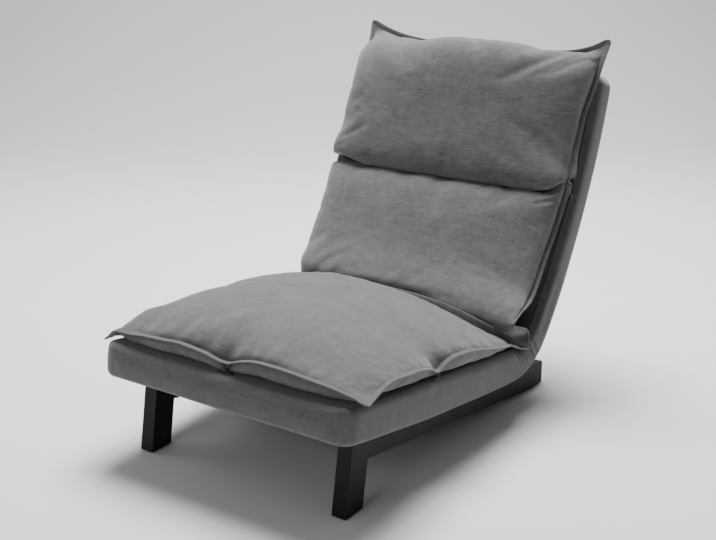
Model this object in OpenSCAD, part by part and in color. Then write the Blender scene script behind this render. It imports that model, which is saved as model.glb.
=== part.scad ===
// Upholstered floor chair on two short front legs and sloping side rails.
// The back folds on a pair of ratchet hinges hidden in the bend of the slab.
// Millimetres, +Z up, the front of the chair faces -Y, X runs across the seat.
// Rails, legs and tubes are drawn in the seat's own tilted frame: u runs back
// along the rails, v stands square to them, v = 0 is the top of the rails.

/* [Slab] */
// Width of the upholstered slab
slab_w = 600; // [580:5:620]
// Thickness of the slab, foam and cover together
slab_t = 72; // [70:1:74]
// Thickness of the cover cloth
cloth_t = 1.5; // [1:0.1:2]
// Radius of the slab's front edges
edge_r = 24; // [16:1:30]
// Radius of the slab's corners seen from above
corner_r = 30; // [20:1:40]

/* [Base] */
// Slope of the rails, down towards the back, in degrees
seat_tilt = 8.4; // [8.2:0.1:8.6]
// Distance between the outer faces of the legs
leg_span = 520; // [510:1:530]
// Width of the leg and rail tubes
tube_w = 32; // [28:1:34]
// Depth of a leg, front to back
leg_d = 56; // [50:1:60]
// Height of a rail, square to its length
rail_h = 60; // [58:1:60]
// Wall of the leg and rail tubes
wall = 1.5; // [1.2:0.1:2]
// Height of the glide under each leg
glide_h = 3; // [3:0.5:4]

/* [Inner frame] */
// Outer diameter of the round tubes inside the foam
frame_d = 22; // [20:1:22]
// Wall of the round tubes
frame_wall = 1.5; // [1.2:0.1:2]
// Width of one elastic strap
strap_w = 50; // [40:1:50]

/* [Hinge] */
// Angle between two locking positions, in degrees
pitch = 5; // [5:1:5]
// Radius over the ratchet teeth
gear_r = 26; // [26:1:26]
// Depth of a ratchet tooth
tooth_h = 1.8; // [1.6:0.1:1.8]
// Thickness of a hinge plate
plate_t = 4; // [3:0.5:4]
// Radius of the hinge pivot
pivot_r = 5; // [4:0.5:6]
// How far the locking pawl is lifted in the drawn pose, in degrees
pawl_lift = 7.5; // [7.5:0.5:7.5]

/* [Cushions] */
// Half width of the cushions at their corners
cushion_hw = 322; // [318:1:324]
// Thickness of the stitched flange round each cushion
flange_t = 3; // [2.5:0.5:4]
// Width of the stitched flange
flange_w = 11; // [8:1:14]
// Height of the seat cushion's crown above the slab
seat_crown = 108; // [90:1:115]
// Height of the back cushions' crown above the slab
back_crown = 112; // [90:1:118]

/* [Hidden] */
$fn = 48;

y_shift = 479;                 // puts the origin under the middle of the chair
ct = cos(seat_tilt);
st = sin(seat_tilt);
line_z = 170.5;                // height of the rails' top line at Y = 0
function B(u, v) = [u * ct + v * st, line_z - u * st + v * ct];

hw = slab_w / 2;
u_front = -57;                 // front face of the slab
u_bend = 592;                  // where the underside starts to curve up
bend_R = 142;
h1 = 45.5;                     // headings of the back's rear line, in degrees
h2 = 55;
h3 = 73.6;
R2 = 700;
R3 = 1630;
C1 = B(u_bend, bend_R);
P2 = C1 + bend_R * [sin(h1), -cos(h1)];
C2 = P2 + R2 * [-sin(h1), cos(h1)];
P3 = C2 + R2 * [sin(h2), -cos(h2)];
C3 = P3 + R3 * [-sin(h2), cos(h2)];
L2 = R2 * (h2 - h1) * PI / 180;
L3 = R3 * (h3 - h2) * PI / 180;
function heading(s) = s < 0 ? h1 : s < L2 ? h1 + s / R2 * 180 / PI : h2 + (s - L2) / R3 * 180 / PI;
// a point on the back: s along its rear line from the bend, d in from that line
function bp(s, d) = let (h = heading(s), n = [-sin(h), cos(h)])
  s < 0 ? P2 + s * [cos(h1), sin(h1)] + d * n
  : s < L2 ? C2 - (R2 - d) * n : C3 - (R3 - d) * n;

mid_h = (h1 - seat_tilt) / 2;
pivot = C1 + (bend_R - slab_t / 2) * [sin(mid_h), -cos(mid_h)];
pu = pivot[0] * ct - (pivot[1] - line_z) * st;    // the pivot in the tilted frame
pv = pivot[0] * st + (pivot[1] - line_z) * ct;

frame_r = frame_d / 2;
strap_t = 2;
tube_v = cloth_t + strap_t + 0.1 + frame_r;       // centre line of the inner tubes
seat_x = 240;                                      // side tubes of the seat frame
plate_x = seat_x + frame_r;                        // inner face of the hinge plate
arm_x = plate_x + plate_t + 0.3;                   // inner face of the hinge arm
back_x = arm_x - frame_r;                          // side tubes of the back frame
pocket_x0 = 226;                                   // the hinge's pocket in the foam
pocket_x1 = 265;
rail_x0 = leg_span / 2 - tube_w;
rail_x1 = leg_span / 2;
lean = 0.174;                                      // the legs lean back this much per mm of height
rail_end_y = 801;
bolt_u = [100, 500];
roll_r = slab_t / 2 - 0.5;

module chair() { translate([0, -y_shift, 0]) children(); }
// draws a side profile, given as [Y, Z], between two planes of X
module slice(x0, x1) { translate([x0, 0, 0]) rotate([90, 0, 90]) linear_extrude(x1 - x0) children(); }
module both() { children(); mirror([1, 0, 0]) children(); }
// the tilted frame
module tilted() { translate([0, 0, line_z]) rotate([-seat_tilt, 0, 0]) children(); }
module block(a, b) { translate(a) cube(b - a); }
module rod(x0, x1, r, yz) { translate([x0, yz[0], yz[1]]) rotate([0, 90, 0]) cylinder(r = r, h = x1 - x0); }
module bar2d(a, b, w) {
  d = b - a;
  translate(a) rotate(atan2(d[1], d[0])) translate([0, -w / 2]) square([norm(d), w]);
  translate(a) circle(d = w);
  translate(b) circle(d = w);
}

// side profile of the whole slab, drawn in from its surface by e
module slab_profile(e) {
  r = edge_r - e;
  k = 4;
  front = [for (i = [0:k]) let (a = 180 + 90 * i / k) B(u_front + edge_r + r * cos(a), edge_r + r * sin(a))];
  bend_out = [for (i = [0:12]) let (h = -seat_tilt + (h1 + seat_tilt) * i / 12) C1 + (bend_R - e) * [sin(h), -cos(h)]];
  rear = [for (i = [1:20]) bp((L2 + L3 - 22) * i / 20, e)];
  rt = 20;
  top_r = [for (i = [0:k]) let (a = -90 + 90 * i / k, c = bp(L2 + L3 - rt, rt), h = heading(L2 + L3 - rt))
    c + (rt - e) * [cos(a + h), sin(a + h)]];
  top_f = [for (i = [0:k]) let (a = 90 * i / k, c = bp(L2 + L3 - rt, slab_t - rt), h = heading(L2 + L3 - rt))
    c + (rt - e) * [cos(a + h), sin(a + h)]];
  inner = [for (i = [19:-1:0]) bp((L2 + L3 - 22) * i / 20, slab_t - e)];
  bend_in = [for (i = [12:-1:0]) let (h = -seat_tilt + (h1 + seat_tilt) * i / 12) C1 + (bend_R - slab_t + e) * [sin(h), -cos(h)]];
  front_top = [for (i = [0:k]) let (a = 90 + 90 * i / k) B(u_front + edge_r + r * cos(a), slab_t - edge_r + r * sin(a))];
  polygon(concat(front, bend_out, rear, top_r, top_f, inner, bend_in, front_top));
}
// a wedge of the plane round the pivot, between two directions
module wedge(a0, a1, r = 1400) {
  m = (a0 + a1) / 2;
  polygon([pivot, pivot + r * [cos(a0), sin(a0)], pivot + r * 1.3 * [cos((a0 + m) / 2), sin((a0 + m) / 2)],
    pivot + r * 1.4 * [cos(m), sin(m)], pivot + r * 1.3 * [cos((a1 + m) / 2), sin((a1 + m) / 2)], pivot + r * [cos(a1), sin(a1)]]);
}
seat_a0 = 117;                 // the seat part of the slab lies between these directions from the pivot
seat_a1 = 285;
back_a0 = -24;                 // and the back part between these
back_a1 = 101;

// outline seen from above, with round front corners
module plan(e) {
  translate([0, 0, -60]) linear_extrude(900) difference() {
    translate([-hw + e, -120]) square([slab_w - 2 * e, 1400]);
    for (m = [-1, 1]) difference() {
      translate([m > 0 ? hw - corner_r : -hw - 1, -130]) square([corner_r + 1, 130 + B(u_front, 36)[0] + corner_r]);
      translate([m * (hw - corner_r), B(u_front, 36)[0] + corner_r]) circle(r = corner_r - e);
      translate([m > 0 ? hw - corner_r - 0.01 : -hw - 0.01 + e, B(u_front, 36)[0] + corner_r]) square([corner_r + 0.02 - e, 1]);
    }
  }
}
// outline of the back seen from the front, with round top corners
module front_view(e) {
  top = bp(L2 + L3, slab_t / 2)[1];
  rotate([90, 0, 0]) translate([0, 0, -1300]) linear_extrude(1500) union() {
    translate([-hw + e, -50]) square([slab_w - 2 * e, top - 26 + 50]);
    translate([-hw + e + 30, -50]) square([slab_w - 2 * e - 60, top + 90]);
    for (m = [-1, 1]) translate([m * (hw - e - 30), top - 26]) circle(r = 30);
  }
}
module seat_solid(e) {
  intersection() {
    union() {
      slice(-hw + e, hw - e) intersection() { slab_profile(e); wedge(seat_a0, seat_a1); }
      both() slice(pocket_x1, hw - e) translate(pivot) circle(r = roll_r - e);
      slice(-pocket_x0, pocket_x0) translate(pivot) circle(r = roll_r - e);
    }
    plan(e);
  }
}
module back_solid(e) {
  intersection() {
    slice(-hw + e, hw - e) difference() {
      intersection() { slab_profile(e); wedge(back_a0, back_a1); }
      translate(pivot) circle(r = roll_r + 0.8 + e);
    }
    front_view(e);
  }
}

// ---- base: legs, rails, crossbars ----
function leg_front(z) = lean * z;
// where a leg line meets a line v = const of the tilted frame
function leg_at(y0, v) = let (z = (line_z + v / ct - y0 * st / ct) / (1 + lean * st / ct)) [y0 + lean * z, z];
module leg_shape(e) {
  polygon([[e + lean * (glide_h - (e > 0 ? 1 : 0)), glide_h - (e > 0 ? 1 : 0)], [leg_d - e + lean * (glide_h - (e > 0 ? 1 : 0)), glide_h - (e > 0 ? 1 : 0)],
    leg_at(leg_d - e, -e), leg_at(e, -e)]);
}
module leg() {
  color([0.1, 0.1, 0.105]) difference() {
    slice(rail_x0, rail_x1) leg_shape(0);
    slice(rail_x0 + wall, rail_x1 - wall) leg_shape(wall);
  }
}
module leg_left() { chair() mirror([1, 0, 0]) leg(); }
module leg_right() { chair() leg(); }

cap_t = 2;
module rail_shape(e) {
  ye = rail_end_y - cap_t + (e > 0 ? 1 : 0);
  zb = e;
  yb = (line_z - rail_h / ct - zb + e / ct) / (st / ct);
  polygon([leg_at(leg_d + e, -rail_h + e), [yb, zb], [ye, zb], [ye, line_z - ye * st / ct - e / ct], leg_at(leg_d + e, -e)]);
}
module rail() {
  color([0.1, 0.1, 0.105]) difference() {
    slice(rail_x0, rail_x1) rail_shape(0);
    slice(rail_x0 + wall, rail_x1 - wall) rail_shape(wall);
    for (u = bolt_u) tilted() translate([seat_x, u, -rail_h - 1]) cylinder(r = 4.25, h = rail_h + 2);
  }
}
module rail_left() { chair() mirror([1, 0, 0]) rail(); }
module rail_right() { chair() rail(); }

module crossbar(u0, v0) {
  color([0.1, 0.1, 0.105]) tilted() difference() {
    block([-rail_x0, u0, v0], [rail_x0, u0 + 30, v0 + 30]);
    block([-rail_x0 - 1, u0 + wall, v0 + wall], [rail_x0 + 1, u0 + 30 - wall, v0 + 30 - wall]);
  }
}
module front_crossbar() { chair() crossbar(135, -42); }
module rear_crossbar() { chair() crossbar(650, -48); }

module leg_glides() {
  chair() both() color([0.05, 0.05, 0.05]) union() {
    slice(rail_x0 + wall, rail_x1 - wall) polygon([[wall + lean * glide_h, glide_h], [leg_d - wall + lean * glide_h, glide_h],
      [leg_d - wall + lean * 15, 15], [wall + lean * 15, 15]]);
    translate([rail_x1 - 13, 15, 0]) cylinder(r = 10, h = glide_h + 1);
  }
}
module rail_end_caps() {
  ye = rail_end_y;
  chair() both() color([0.05, 0.05, 0.05]) union() {
    slice(rail_x0, rail_x1) polygon([[ye - cap_t, 0], [ye - 1, 0], [ye, 1], [ye, line_z - ye * st / ct - 1],
      [ye - 1, line_z - (ye - 1) * st / ct], [ye - cap_t, line_z - (ye - cap_t) * st / ct]]);
    slice(rail_x0 + wall + 0.2, rail_x1 - wall - 0.2) polygon([[ye - 16, wall + 0.2], [ye - cap_t + 0.5, wall + 0.2],
      [ye - cap_t + 0.5, line_z - ye * st / ct - wall - 0.4], [ye - 16, line_z - (ye - 16) * st / ct - wall - 0.4]]);
  }
}

// ---- seat: frame, straps, foam, cover ----
tube_u0 = -21;
tube_u1 = 598;
cross_u = [-10, 575];
module seat_frame() {
  chair() tilted() color([0.55, 0.56, 0.58]) difference() {
    union() {
      for (m = [-1, 1]) {
        translate([m * seat_x, tube_u0, tube_v]) rotate([-90, 0, 0]) cylinder(r = frame_r, h = tube_u1 - tube_u0);
        for (u = bolt_u) block([m * seat_x - 9, u - 14, cloth_t], [m * seat_x + 9, u + 14, tube_v]);
      }
      for (u = cross_u) translate([-seat_x, u, tube_v]) rotate([0, 90, 0]) cylinder(r = frame_r, h = 2 * seat_x);
    }
    for (m = [-1, 1]) {
      translate([m * seat_x, tube_u0 - 1, tube_v]) rotate([-90, 0, 0]) cylinder(r = frame_r - frame_wall, h = tube_u1 - tube_u0 + 2);
      for (u = bolt_u) translate([m * seat_x, u, -1]) cylinder(r = 4.25, h = 40);
    }
    for (u = cross_u) translate([-seat_x, u, tube_v]) rotate([0, 90, 0]) cylinder(r = frame_r - frame_wall, h = 2 * seat_x);
  }
}
// one elastic strap between two side tubes at X = +-x, lying on them and looped round them
module strap(x, gap) {
  r = frame_r + gap;
  difference() {
    union() {
      block([-x, -strap_w / 2, r], [x, strap_w / 2, r + strap_t]);
      for (m = [-1, 1]) translate([m * x, -strap_w / 2, 0]) rotate([-90, 0, 0]) cylinder(r = r + strap_t, h = strap_w);
    }
    for (m = [-1, 1]) translate([m * x, -strap_w / 2 - 1, 0]) rotate([-90, 0, 0]) cylinder(r = r, h = strap_w + 2);
  }
}
module seat_straps() {
  chair() tilted() color([0.12, 0.12, 0.12]) for (i = [0:4]) translate([0, 50 + 100 * i, tube_v]) strap(seat_x, 0.1);
}
cav_v = tube_v + frame_r + 0.1 + strap_t + 0.4;
module seat_foam() {
  chair() color([0.93, 0.9, 0.78]) difference() {
    seat_solid(cloth_t);
    tilted() block([3 - pocket_x1, -26, -5], [pocket_x1 - 3, 604, cav_v]);
    for (m = [-1, 1]) for (u = bolt_u) tilted() translate([m * seat_x, u, 0]) cylinder(r = 9.5, h = 37);
    both() slice(pocket_x0, pocket_x1) union() {
      translate(pivot) circle(r = 41);
      bar2d(pivot, B(592, tube_v), 34);
      polygon([B(560, -5), B(700, -5), B(700, pv), B(pu, pv), B(560, cav_v)]);
    }
  }
}
module seat_cover() {
  chair() color([0.42, 0.42, 0.43]) difference() {
    seat_solid(0);
    seat_solid(cloth_t);
    // the inner space runs out past the pockets at the bend
    both() slice(pocket_x0, pocket_x1) translate(pivot) circle(r = 41);
    tilted() block([-205, 30, -5], [205, 560, 5]);
    for (m = [-1, 1]) for (u = bolt_u) tilted() translate([m * seat_x, u, -5]) cylinder(r = 4.6, h = 10);
  }
}
module seat_dust_cloth() { chair() tilted() color([0.08, 0.08, 0.08]) block([-218, 18, -0.9], [218, 572, -0.1]); }
module seat_bolts() {
  chair() tilted() color([0.6, 0.6, 0.62]) for (m = [-1, 1]) for (u = bolt_u) translate([m * seat_x, u, 0]) union() {
    translate([0, 0, -rail_h - 0.001]) cylinder(r = 4, h = rail_h + 35);
    translate([0, 0, -rail_h - 4.5]) difference() {
      cylinder(r = 7.5, h = 4.5);
      translate([0, 0, -1]) cylinder(r = 2.9, h = 3.5, $fn = 6);
    }
  }
}
module seat_nuts() {
  chair() tilted() color([0.6, 0.6, 0.62]) for (m = [-1, 1]) for (u = bolt_u)
    translate([m * seat_x, u, tube_v + frame_r + 0.05]) difference() {
      cylinder(r = 7.5, h = 6.5, $fn = 6);
      translate([0, 0, -1]) cylinder(r = 4, h = 9);
    }
}

// ---- ratchet hinges ----
// the nose of the pawl meets the teeth in this direction from the pivot, and its pin lies across from it
nose_a = 40;
arm_len = 21;
nose_n = [cos(nose_a), sin(nose_a)];
nose_t = [-sin(nose_a), cos(nose_a)];
pawl_pin = pivot + gear_r * nose_n - arm_len * nose_t;
// the back frame's side tubes are bent to one radius, through three points beside the rear line of the back
tube_s0 = 8;
tube_s1 = L2 + L3 - 30;
function centre(a, b, c) = let (p = b - a, q = c - a, k = 2 * (p[0] * q[1] - p[1] * q[0]), m = p * p, n = q * q)
  a + [q[1] * m - p[1] * n, p[0] * n - q[0] * m] / k;
tube_C = centre(bp(tube_s0, tube_v + 0.2), bp(290, tube_v + 2.2), bp(tube_s1, tube_v + 2.6));
tube_R = norm(bp(290, tube_v + 2.2) - tube_C);
function tube_dir(s) = let (p = bp(s, tube_v) - tube_C) atan2(p[1], p[0]);
function on_tube(s) = tube_C + tube_R * [cos(tube_dir(s)), sin(tube_dir(s))];
// where the hinge arm holds the back frame's side tube
arm_a = on_tube(tube_s0 + 12);
arm_b = on_tube(tube_s0 + 62);

module teeth() {
  for (a = [nose_a - 55:pitch:nose_a + 20]) let (g = a) translate(pivot) rotate(g) {
    // a tooth space is cut at each step
    w0 = (gear_r * pitch * PI / 180 - 0.5) / 2;
    polygon([[gear_r + 0.6, w0 + 0.21], [gear_r - tooth_h, 0.25], [gear_r - tooth_h, -0.25], [gear_r + 0.6, -w0 - 0.21]]);
  }
}
module hinge_plate() {
  color([0.62, 0.63, 0.65]) difference() {
    slice(plate_x, plate_x + plate_t) difference() {
      union() {
        translate(pivot) circle(r = gear_r);
        bar2d(pivot, B(588, tube_v), 22);
        bar2d(B(545, tube_v), B(588, tube_v), 20);
      }
      teeth();
    }
    rod(plate_x - 1, plate_x + plate_t + 1, pivot_r + 0.05, pivot);
  }
}
module hinge_plate_left() { chair() mirror([1, 0, 0]) hinge_plate(); }
module hinge_plate_right() { chair() hinge_plate(); }

module hinge_arm() {
  color([0.62, 0.63, 0.65]) union() {
    difference() {
      slice(arm_x, arm_x + plate_t) union() {
        translate(pivot) circle(r = 15);
        bar2d(pivot, pawl_pin, 17);
        bar2d(pivot, arm_a, 18);
        bar2d(arm_a, arm_b, 20);
        bar2d(pawl_pin, arm_a, 14);
      }
      rod(arm_x - 1, arm_x + plate_t + 1, pivot_r + 0.05, pivot);
      rod(arm_x - 1, arm_x + plate_t + 1, 3, pawl_pin);
    }
    // a stud that holds the pawl's spring
    rod(arm_x - plate_t + 0.2, arm_x + 0.5, 1.6, spring_stud);
  }
}
module hinge_arm_left() { chair() mirror([1, 0, 0]) hinge_arm(); }
module hinge_arm_right() { chair() hinge_arm(); }

module hinge_pivots() {
  chair() both() color([0.5, 0.51, 0.53]) union() {
    rod(plate_x - 3, plate_x, 9, pivot);
    rod(plate_x - 0.5, arm_x + plate_t + 0.3, pivot_r, pivot);
    rod(arm_x + plate_t + 0.3, arm_x + plate_t + 3.3, 9, pivot);
  }
}
module pawl_pins() {
  chair() both() color([0.5, 0.51, 0.53]) union() {
    rod(plate_x - 1.6, plate_x - 0.1, 4.5, pawl_pin);
    rod(plate_x - 0.5, arm_x + plate_t, 3, pawl_pin);
  }
}
// the pawl, drawn engaged in its own frame: x from its pin to its nose, y outward
module pawl_shape() {
  difference() {
    union() {
      circle(r = 5);
      polygon([[-3, 4], [0, -4.9], [12, 0.8], [26, 0.8], [26, 6.5], [8, 7.5]]);
      translate([arm_len, 0]) polygon([[-0.98, 0.9], [-0.18, -1.5], [0.18, -1.5], [0.98, 0.9]]);
    }
  }
}
module pawl() {
  color([0.45, 0.46, 0.48]) difference() {
    slice(plate_x + 0.2, plate_x + plate_t - 0.2) translate(pawl_pin) rotate(nose_a + 90 - pawl_lift) mirror([0, 1, 0]) pawl_shape();
    rod(plate_x - 1, plate_x + plate_t + 1, 3.05, pawl_pin);
  }
}
module pawl_left() { chair() mirror([1, 0, 0]) pawl(); }
module pawl_right() { chair() pawl(); }
// a leaf spring that presses the pawl onto the teeth, looped round its stud
pawl_dir = nose_a + 90 - pawl_lift;
spring_stud = pawl_pin + 13 * [cos(pawl_dir - 62), sin(pawl_dir - 62)];
spring_tip = pawl_pin + 22 * [cos(pawl_dir - 21.5), sin(pawl_dir - 21.5)];
module pawl_springs() {
  chair() both() color([0.3, 0.3, 0.32]) slice(plate_x + 0.6, plate_x + plate_t - 0.6) difference() {
    union() {
      translate(spring_stud) circle(r = 2.4);
      bar2d(spring_stud + 1.6 * [cos(pawl_dir - 90), sin(pawl_dir - 90)], spring_tip, 0.8);
    }
    translate(spring_stud) circle(r = 1.65);
  }
}

// ---- back: frame, straps, foam, cover ----
module bent_tube(x, r, more = 0) {
  a0 = tube_dir(tube_s0) - 0.1 * more;
  a1 = tube_dir(tube_s1) + 0.1 * more;
  translate([x, tube_C[0], tube_C[1]]) rotate([90, 0, 90]) rotate([0, 0, a0]) rotate_extrude(angle = a1 - a0, $fn = 240) translate([tube_R, 0]) circle(r = r, $fn = 32);
}
back_cross = [70, tube_s1 - 11];
module back_frame() {
  chair() color([0.55, 0.56, 0.58]) difference() {
    union() {
      for (m = [-1, 1]) bent_tube(m * back_x, frame_r);
      for (s = back_cross) rod(-back_x, back_x, frame_r, on_tube(s));
    }
    for (m = [-1, 1]) bent_tube(m * back_x, frame_r - frame_wall, 1);
    for (s = back_cross) rod(-back_x, back_x, frame_r - frame_wall, on_tube(s));
  }
}
module back_straps() {
  chair() color([0.12, 0.12, 0.12]) for (i = [0:4]) let (s = 135 + 95 * i, p = on_tube(s))
    translate([0, p[0], p[1]]) rotate([tube_dir(s) + 90, 0, 0]) strap(back_x, 0.4);
}
// the hollow behind the straps, as a side profile
module back_hollow() {
  polygon(concat([for (i = [0:20]) bp(-6 + (L2 + L3 - 8) * i / 20, -5)], [for (i = [20:-1:0]) bp(-6 + (L2 + L3 - 8) * i / 20, cav_v + 4)]));
}
module back_foam() {
  chair() color([0.93, 0.9, 0.78]) difference() {
    back_solid(cloth_t);
    slice(-pocket_x1 - 3, pocket_x1 + 3) intersection() { back_hollow(); translate(pivot) difference() { circle(r = 1300); circle(r = 30); } }
    both() slice(pocket_x0, pocket_x1 + 3) union() {
      translate(pivot) circle(r = 47);
      bar2d(pivot, arm_a, 26);
      bar2d(arm_a, arm_b, 27);
      bar2d(pawl_pin, arm_a, 21);
    }
  }
}
module back_cover() {
  chair() color([0.42, 0.42, 0.43]) difference() {
    back_solid(0);
    back_solid(cloth_t);
    slice(-hw + cloth_t, hw - cloth_t) difference() {
      translate(pivot) circle(r = roll_r + 4);
      translate(pivot) circle(r = 10);
    }
  }
}

// ---- cushions ----
// places across a cushion: the flange's edge, its seam, and even steps between
function steps(n, f) = concat([-1, -1 + f], [for (i = [1:n - 1]) (-1 + f) + (2 - 2 * f) * i / n], [1 - f, 1]);
function grid_faces(nx, ny) = let (m = ny + 1, q = (nx + 1) * m, k = function (i, j) i * m + j)
  concat(
    [for (i = [0:nx - 1]) for (j = [0:ny - 1]) for (t = [0, 1])
      t == 0 ? [k(i, j), k(i, j + 1), k(i + 1, j + 1)] : [k(i, j), k(i + 1, j + 1), k(i + 1, j)]],
    [for (i = [0:nx - 1]) for (j = [0:ny - 1]) for (t = [0, 1])
      t == 0 ? [q + k(i, j), q + k(i + 1, j + 1), q + k(i, j + 1)] : [q + k(i, j), q + k(i + 1, j), q + k(i + 1, j + 1)]],
    [for (i = [0:nx - 1]) for (j = [0, ny]) for (t = [0, 1]) let (a = k(i, j), b = k(i + 1, j))
      j == 0 ? (t == 0 ? [a, b, q + b] : [a, q + b, q + a]) : (t == 0 ? [b, a, q + a] : [b, q + a, q + b])],
    [for (j = [0:ny - 1]) for (i = [0, nx]) for (t = [0, 1]) let (a = k(i, j), b = k(i, j + 1))
      i == 0 ? (t == 0 ? [b, a, q + a] : [b, q + a, q + b]) : (t == 0 ? [a, b, q + b] : [a, q + b, q + a])]);
// how full the cushion is at a place: 0 on the flange, 1 in the middle
function full(a, b, fa, fb, p) = let (x = min(1, abs(a) / (1 - fa)), y = min(1, abs(b) / (1 - fb)))
  pow(max(0, 1 - pow(x, p)), 0.5) * pow(max(0, 1 - pow(y, p)), 0.5);
// the sides of a filled cushion pull in between its corners
function pull(a, b) = 1 - 0.055 * (1 - b * b) * abs(a);
module cushion(A, Bs, top, bottom) {
  nx = len(A) - 1;
  ny = len(Bs) - 1;
  polyhedron(concat([for (a = A) for (b = Bs) top(a, b)], [for (a = A) for (b = Bs) bottom(a, b)]), grid_faces(nx, ny));
}

seat_u0 = -43;
seat_u1 = 588;
seat_mid = 26;                 // the seat cushion's flange stands this far above the slab
fa = flange_w / cushion_hw;
function seat_point(a, b, v) = let (u = (seat_u0 + seat_u1) / 2 + (seat_u1 - seat_u0) / 2 * b * (1 - 0.03 * (1 - a * a)), p = B(u, v))
  [cushion_hw * a * pull(a, b), p[0], p[1]];
module seat_cushion() {
  fb = 2 * flange_w / (seat_u1 - seat_u0);
  chair() color([0.45, 0.45, 0.46]) cushion(steps(15, fa), steps(15, fb),
    function (a, b) seat_point(a, b, slab_t + seat_mid + flange_t / 2 + (seat_crown - seat_mid - flange_t / 2) * full(a, b, fa, fb, 2.6)),
    function (a, b) seat_point(a, b, slab_t + seat_mid - flange_t / 2 - (seat_mid - flange_t / 2 - 0.6) * pow(full(a, b, fa, fb, 4), 0.6)));
}
// the back cushions' flanges stand this far above the slab, nearest to it at the top of the head cushion
function back_mid(s) = s < 360 ? 54 : 56 - 34 * min(1, (s - 360) / 300);
function back_s(b, s0, s1) = (s0 + s1) / 2 + (s1 - s0) / 2 * b;
function back_point(a, b, s, d) = let (p = bp(s, slab_t + d)) [cushion_hw * a * pull(a, b), p[0], p[1]];
module back_pillow(s0, s1, crown, dip) {
  fb = 2 * flange_w / (s1 - s0);
  color([0.42, 0.42, 0.43]) cushion(steps(15, fa), steps(12, fb),
    function (a, b) let (s = back_s(b, s0, s1 - dip * (1 - a * a) * max(0, b)), m = back_mid(s) + flange_t / 2)
      back_point(a, b, s, m + (crown - m) * full(a, b, fa, fb, 2.6)),
    function (a, b) let (s = back_s(b, s0, s1 - dip * (1 - a * a) * max(0, b)), m = back_mid(s) - flange_t / 2)
      back_point(a, b, s, m - (m - 0.6) * pow(full(a, b, fa, fb, 4), 0.6)));
}
s_low = 16;
s_join = 355;
s_top = 728;
module lumbar_cushion() { chair() back_pillow(s_low, s_join - 1.5, back_crown, 0); }
module head_cushion() { chair() back_pillow(s_join + 1.5, s_top, back_crown, 34); }

// short cloth ties from the slab's edge seam to the cushions' flanges
module seat_cushion_ties() {
  chair() tilted() color([0.3, 0.3, 0.31]) {
    block([1, seat_u0 + 12, slab_t + 0.05], [15, seat_u0 + 14, slab_t + seat_mid - flange_t / 2 - 0.05]);
    both() block([hw - 3.5, 234, slab_t + 0.05], [hw - 1.5, 248, slab_t + seat_mid - flange_t / 2 - 0.05]);
  }
}
module back_cushion_ties() {
  p = bp(s_join, slab_t);
  h = heading(s_join);
  chair() both() translate([hw - 7, p[0], p[1]]) rotate([h, 0, 0]) color([0.3, 0.3, 0.31]) block([0, -6, 0.1], [2, 6, back_mid(s_join - 8) - flange_t / 2 - 0.3]);
}

leg_left();
leg_right();
rail_left();
rail_right();
front_crossbar();
rear_crossbar();
leg_glides();
rail_end_caps();
seat_frame();
seat_straps();
seat_foam();
seat_cover();
seat_dust_cloth();
seat_bolts();
seat_nuts();
seat_cushion();
seat_cushion_ties();
hinge_plate_left();
hinge_plate_right();
hinge_pivots();
back_frame();
back_straps();
back_foam();
back_cover();
lumbar_cushion();
head_cushion();
back_cushion_ties();
hinge_arm_left();
hinge_arm_right();
pawl_pins();
pawl_springs();
pawl_left();
pawl_right();
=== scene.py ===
import bpy
import math
import numpy as np
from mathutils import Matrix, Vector, noise

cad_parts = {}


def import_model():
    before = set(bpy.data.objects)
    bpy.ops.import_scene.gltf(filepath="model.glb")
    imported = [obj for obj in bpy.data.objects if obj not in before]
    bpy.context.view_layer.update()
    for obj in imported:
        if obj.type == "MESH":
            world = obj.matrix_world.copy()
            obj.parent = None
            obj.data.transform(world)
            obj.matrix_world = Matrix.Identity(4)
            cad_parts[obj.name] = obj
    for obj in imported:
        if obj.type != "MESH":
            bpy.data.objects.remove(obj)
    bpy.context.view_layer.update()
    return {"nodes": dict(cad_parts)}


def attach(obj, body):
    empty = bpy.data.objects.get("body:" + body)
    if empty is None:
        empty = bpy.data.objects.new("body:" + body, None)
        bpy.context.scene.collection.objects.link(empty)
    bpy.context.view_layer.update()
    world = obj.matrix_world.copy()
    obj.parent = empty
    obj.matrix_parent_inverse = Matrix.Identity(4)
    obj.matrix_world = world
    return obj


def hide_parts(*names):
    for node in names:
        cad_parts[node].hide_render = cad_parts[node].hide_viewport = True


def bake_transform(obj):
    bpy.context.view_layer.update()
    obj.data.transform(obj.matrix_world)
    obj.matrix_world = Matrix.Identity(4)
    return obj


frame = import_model()

# ------------------------------------------------------------------ the slab's own coordinates
# Millimetres, as in the CAD source: u or w runs back along the underside of the seat and on up the rear
# of the back, d or v stands in from that line, h is the height above the slab's upper (front) face.
TILT = math.radians(8.4)
CT, ST = math.cos(TILT), math.sin(TILT)
LINE = 170.5
T = 72.0
YS = 479.0
R1, R2, R3 = 142.0, 700.0, 1630.0
H1, H2, H3 = (math.radians(a) for a in (45.5, 55.0, 73.6))
UB = 592.0
LB = R1 * (H1 + TILT)
L2, L3 = R2 * (H2 - H1), R3 * (H3 - H2)
S0 = UB + LB                                   # w where the back begins


def B(u, v):
    u, v = np.asarray(u, float), np.asarray(v, float)
    return np.stack([u * CT + v * ST, LINE - u * ST + v * CT], -1)


def turn(h):
    return np.stack([np.sin(h), -np.cos(h)], -1)


C1 = B(UB, R1)
P2 = C1 + R1 * turn(H1)
C2 = P2 - R2 * turn(H1)
C3 = C2 + (R2 - R3) * turn(H2)


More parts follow.
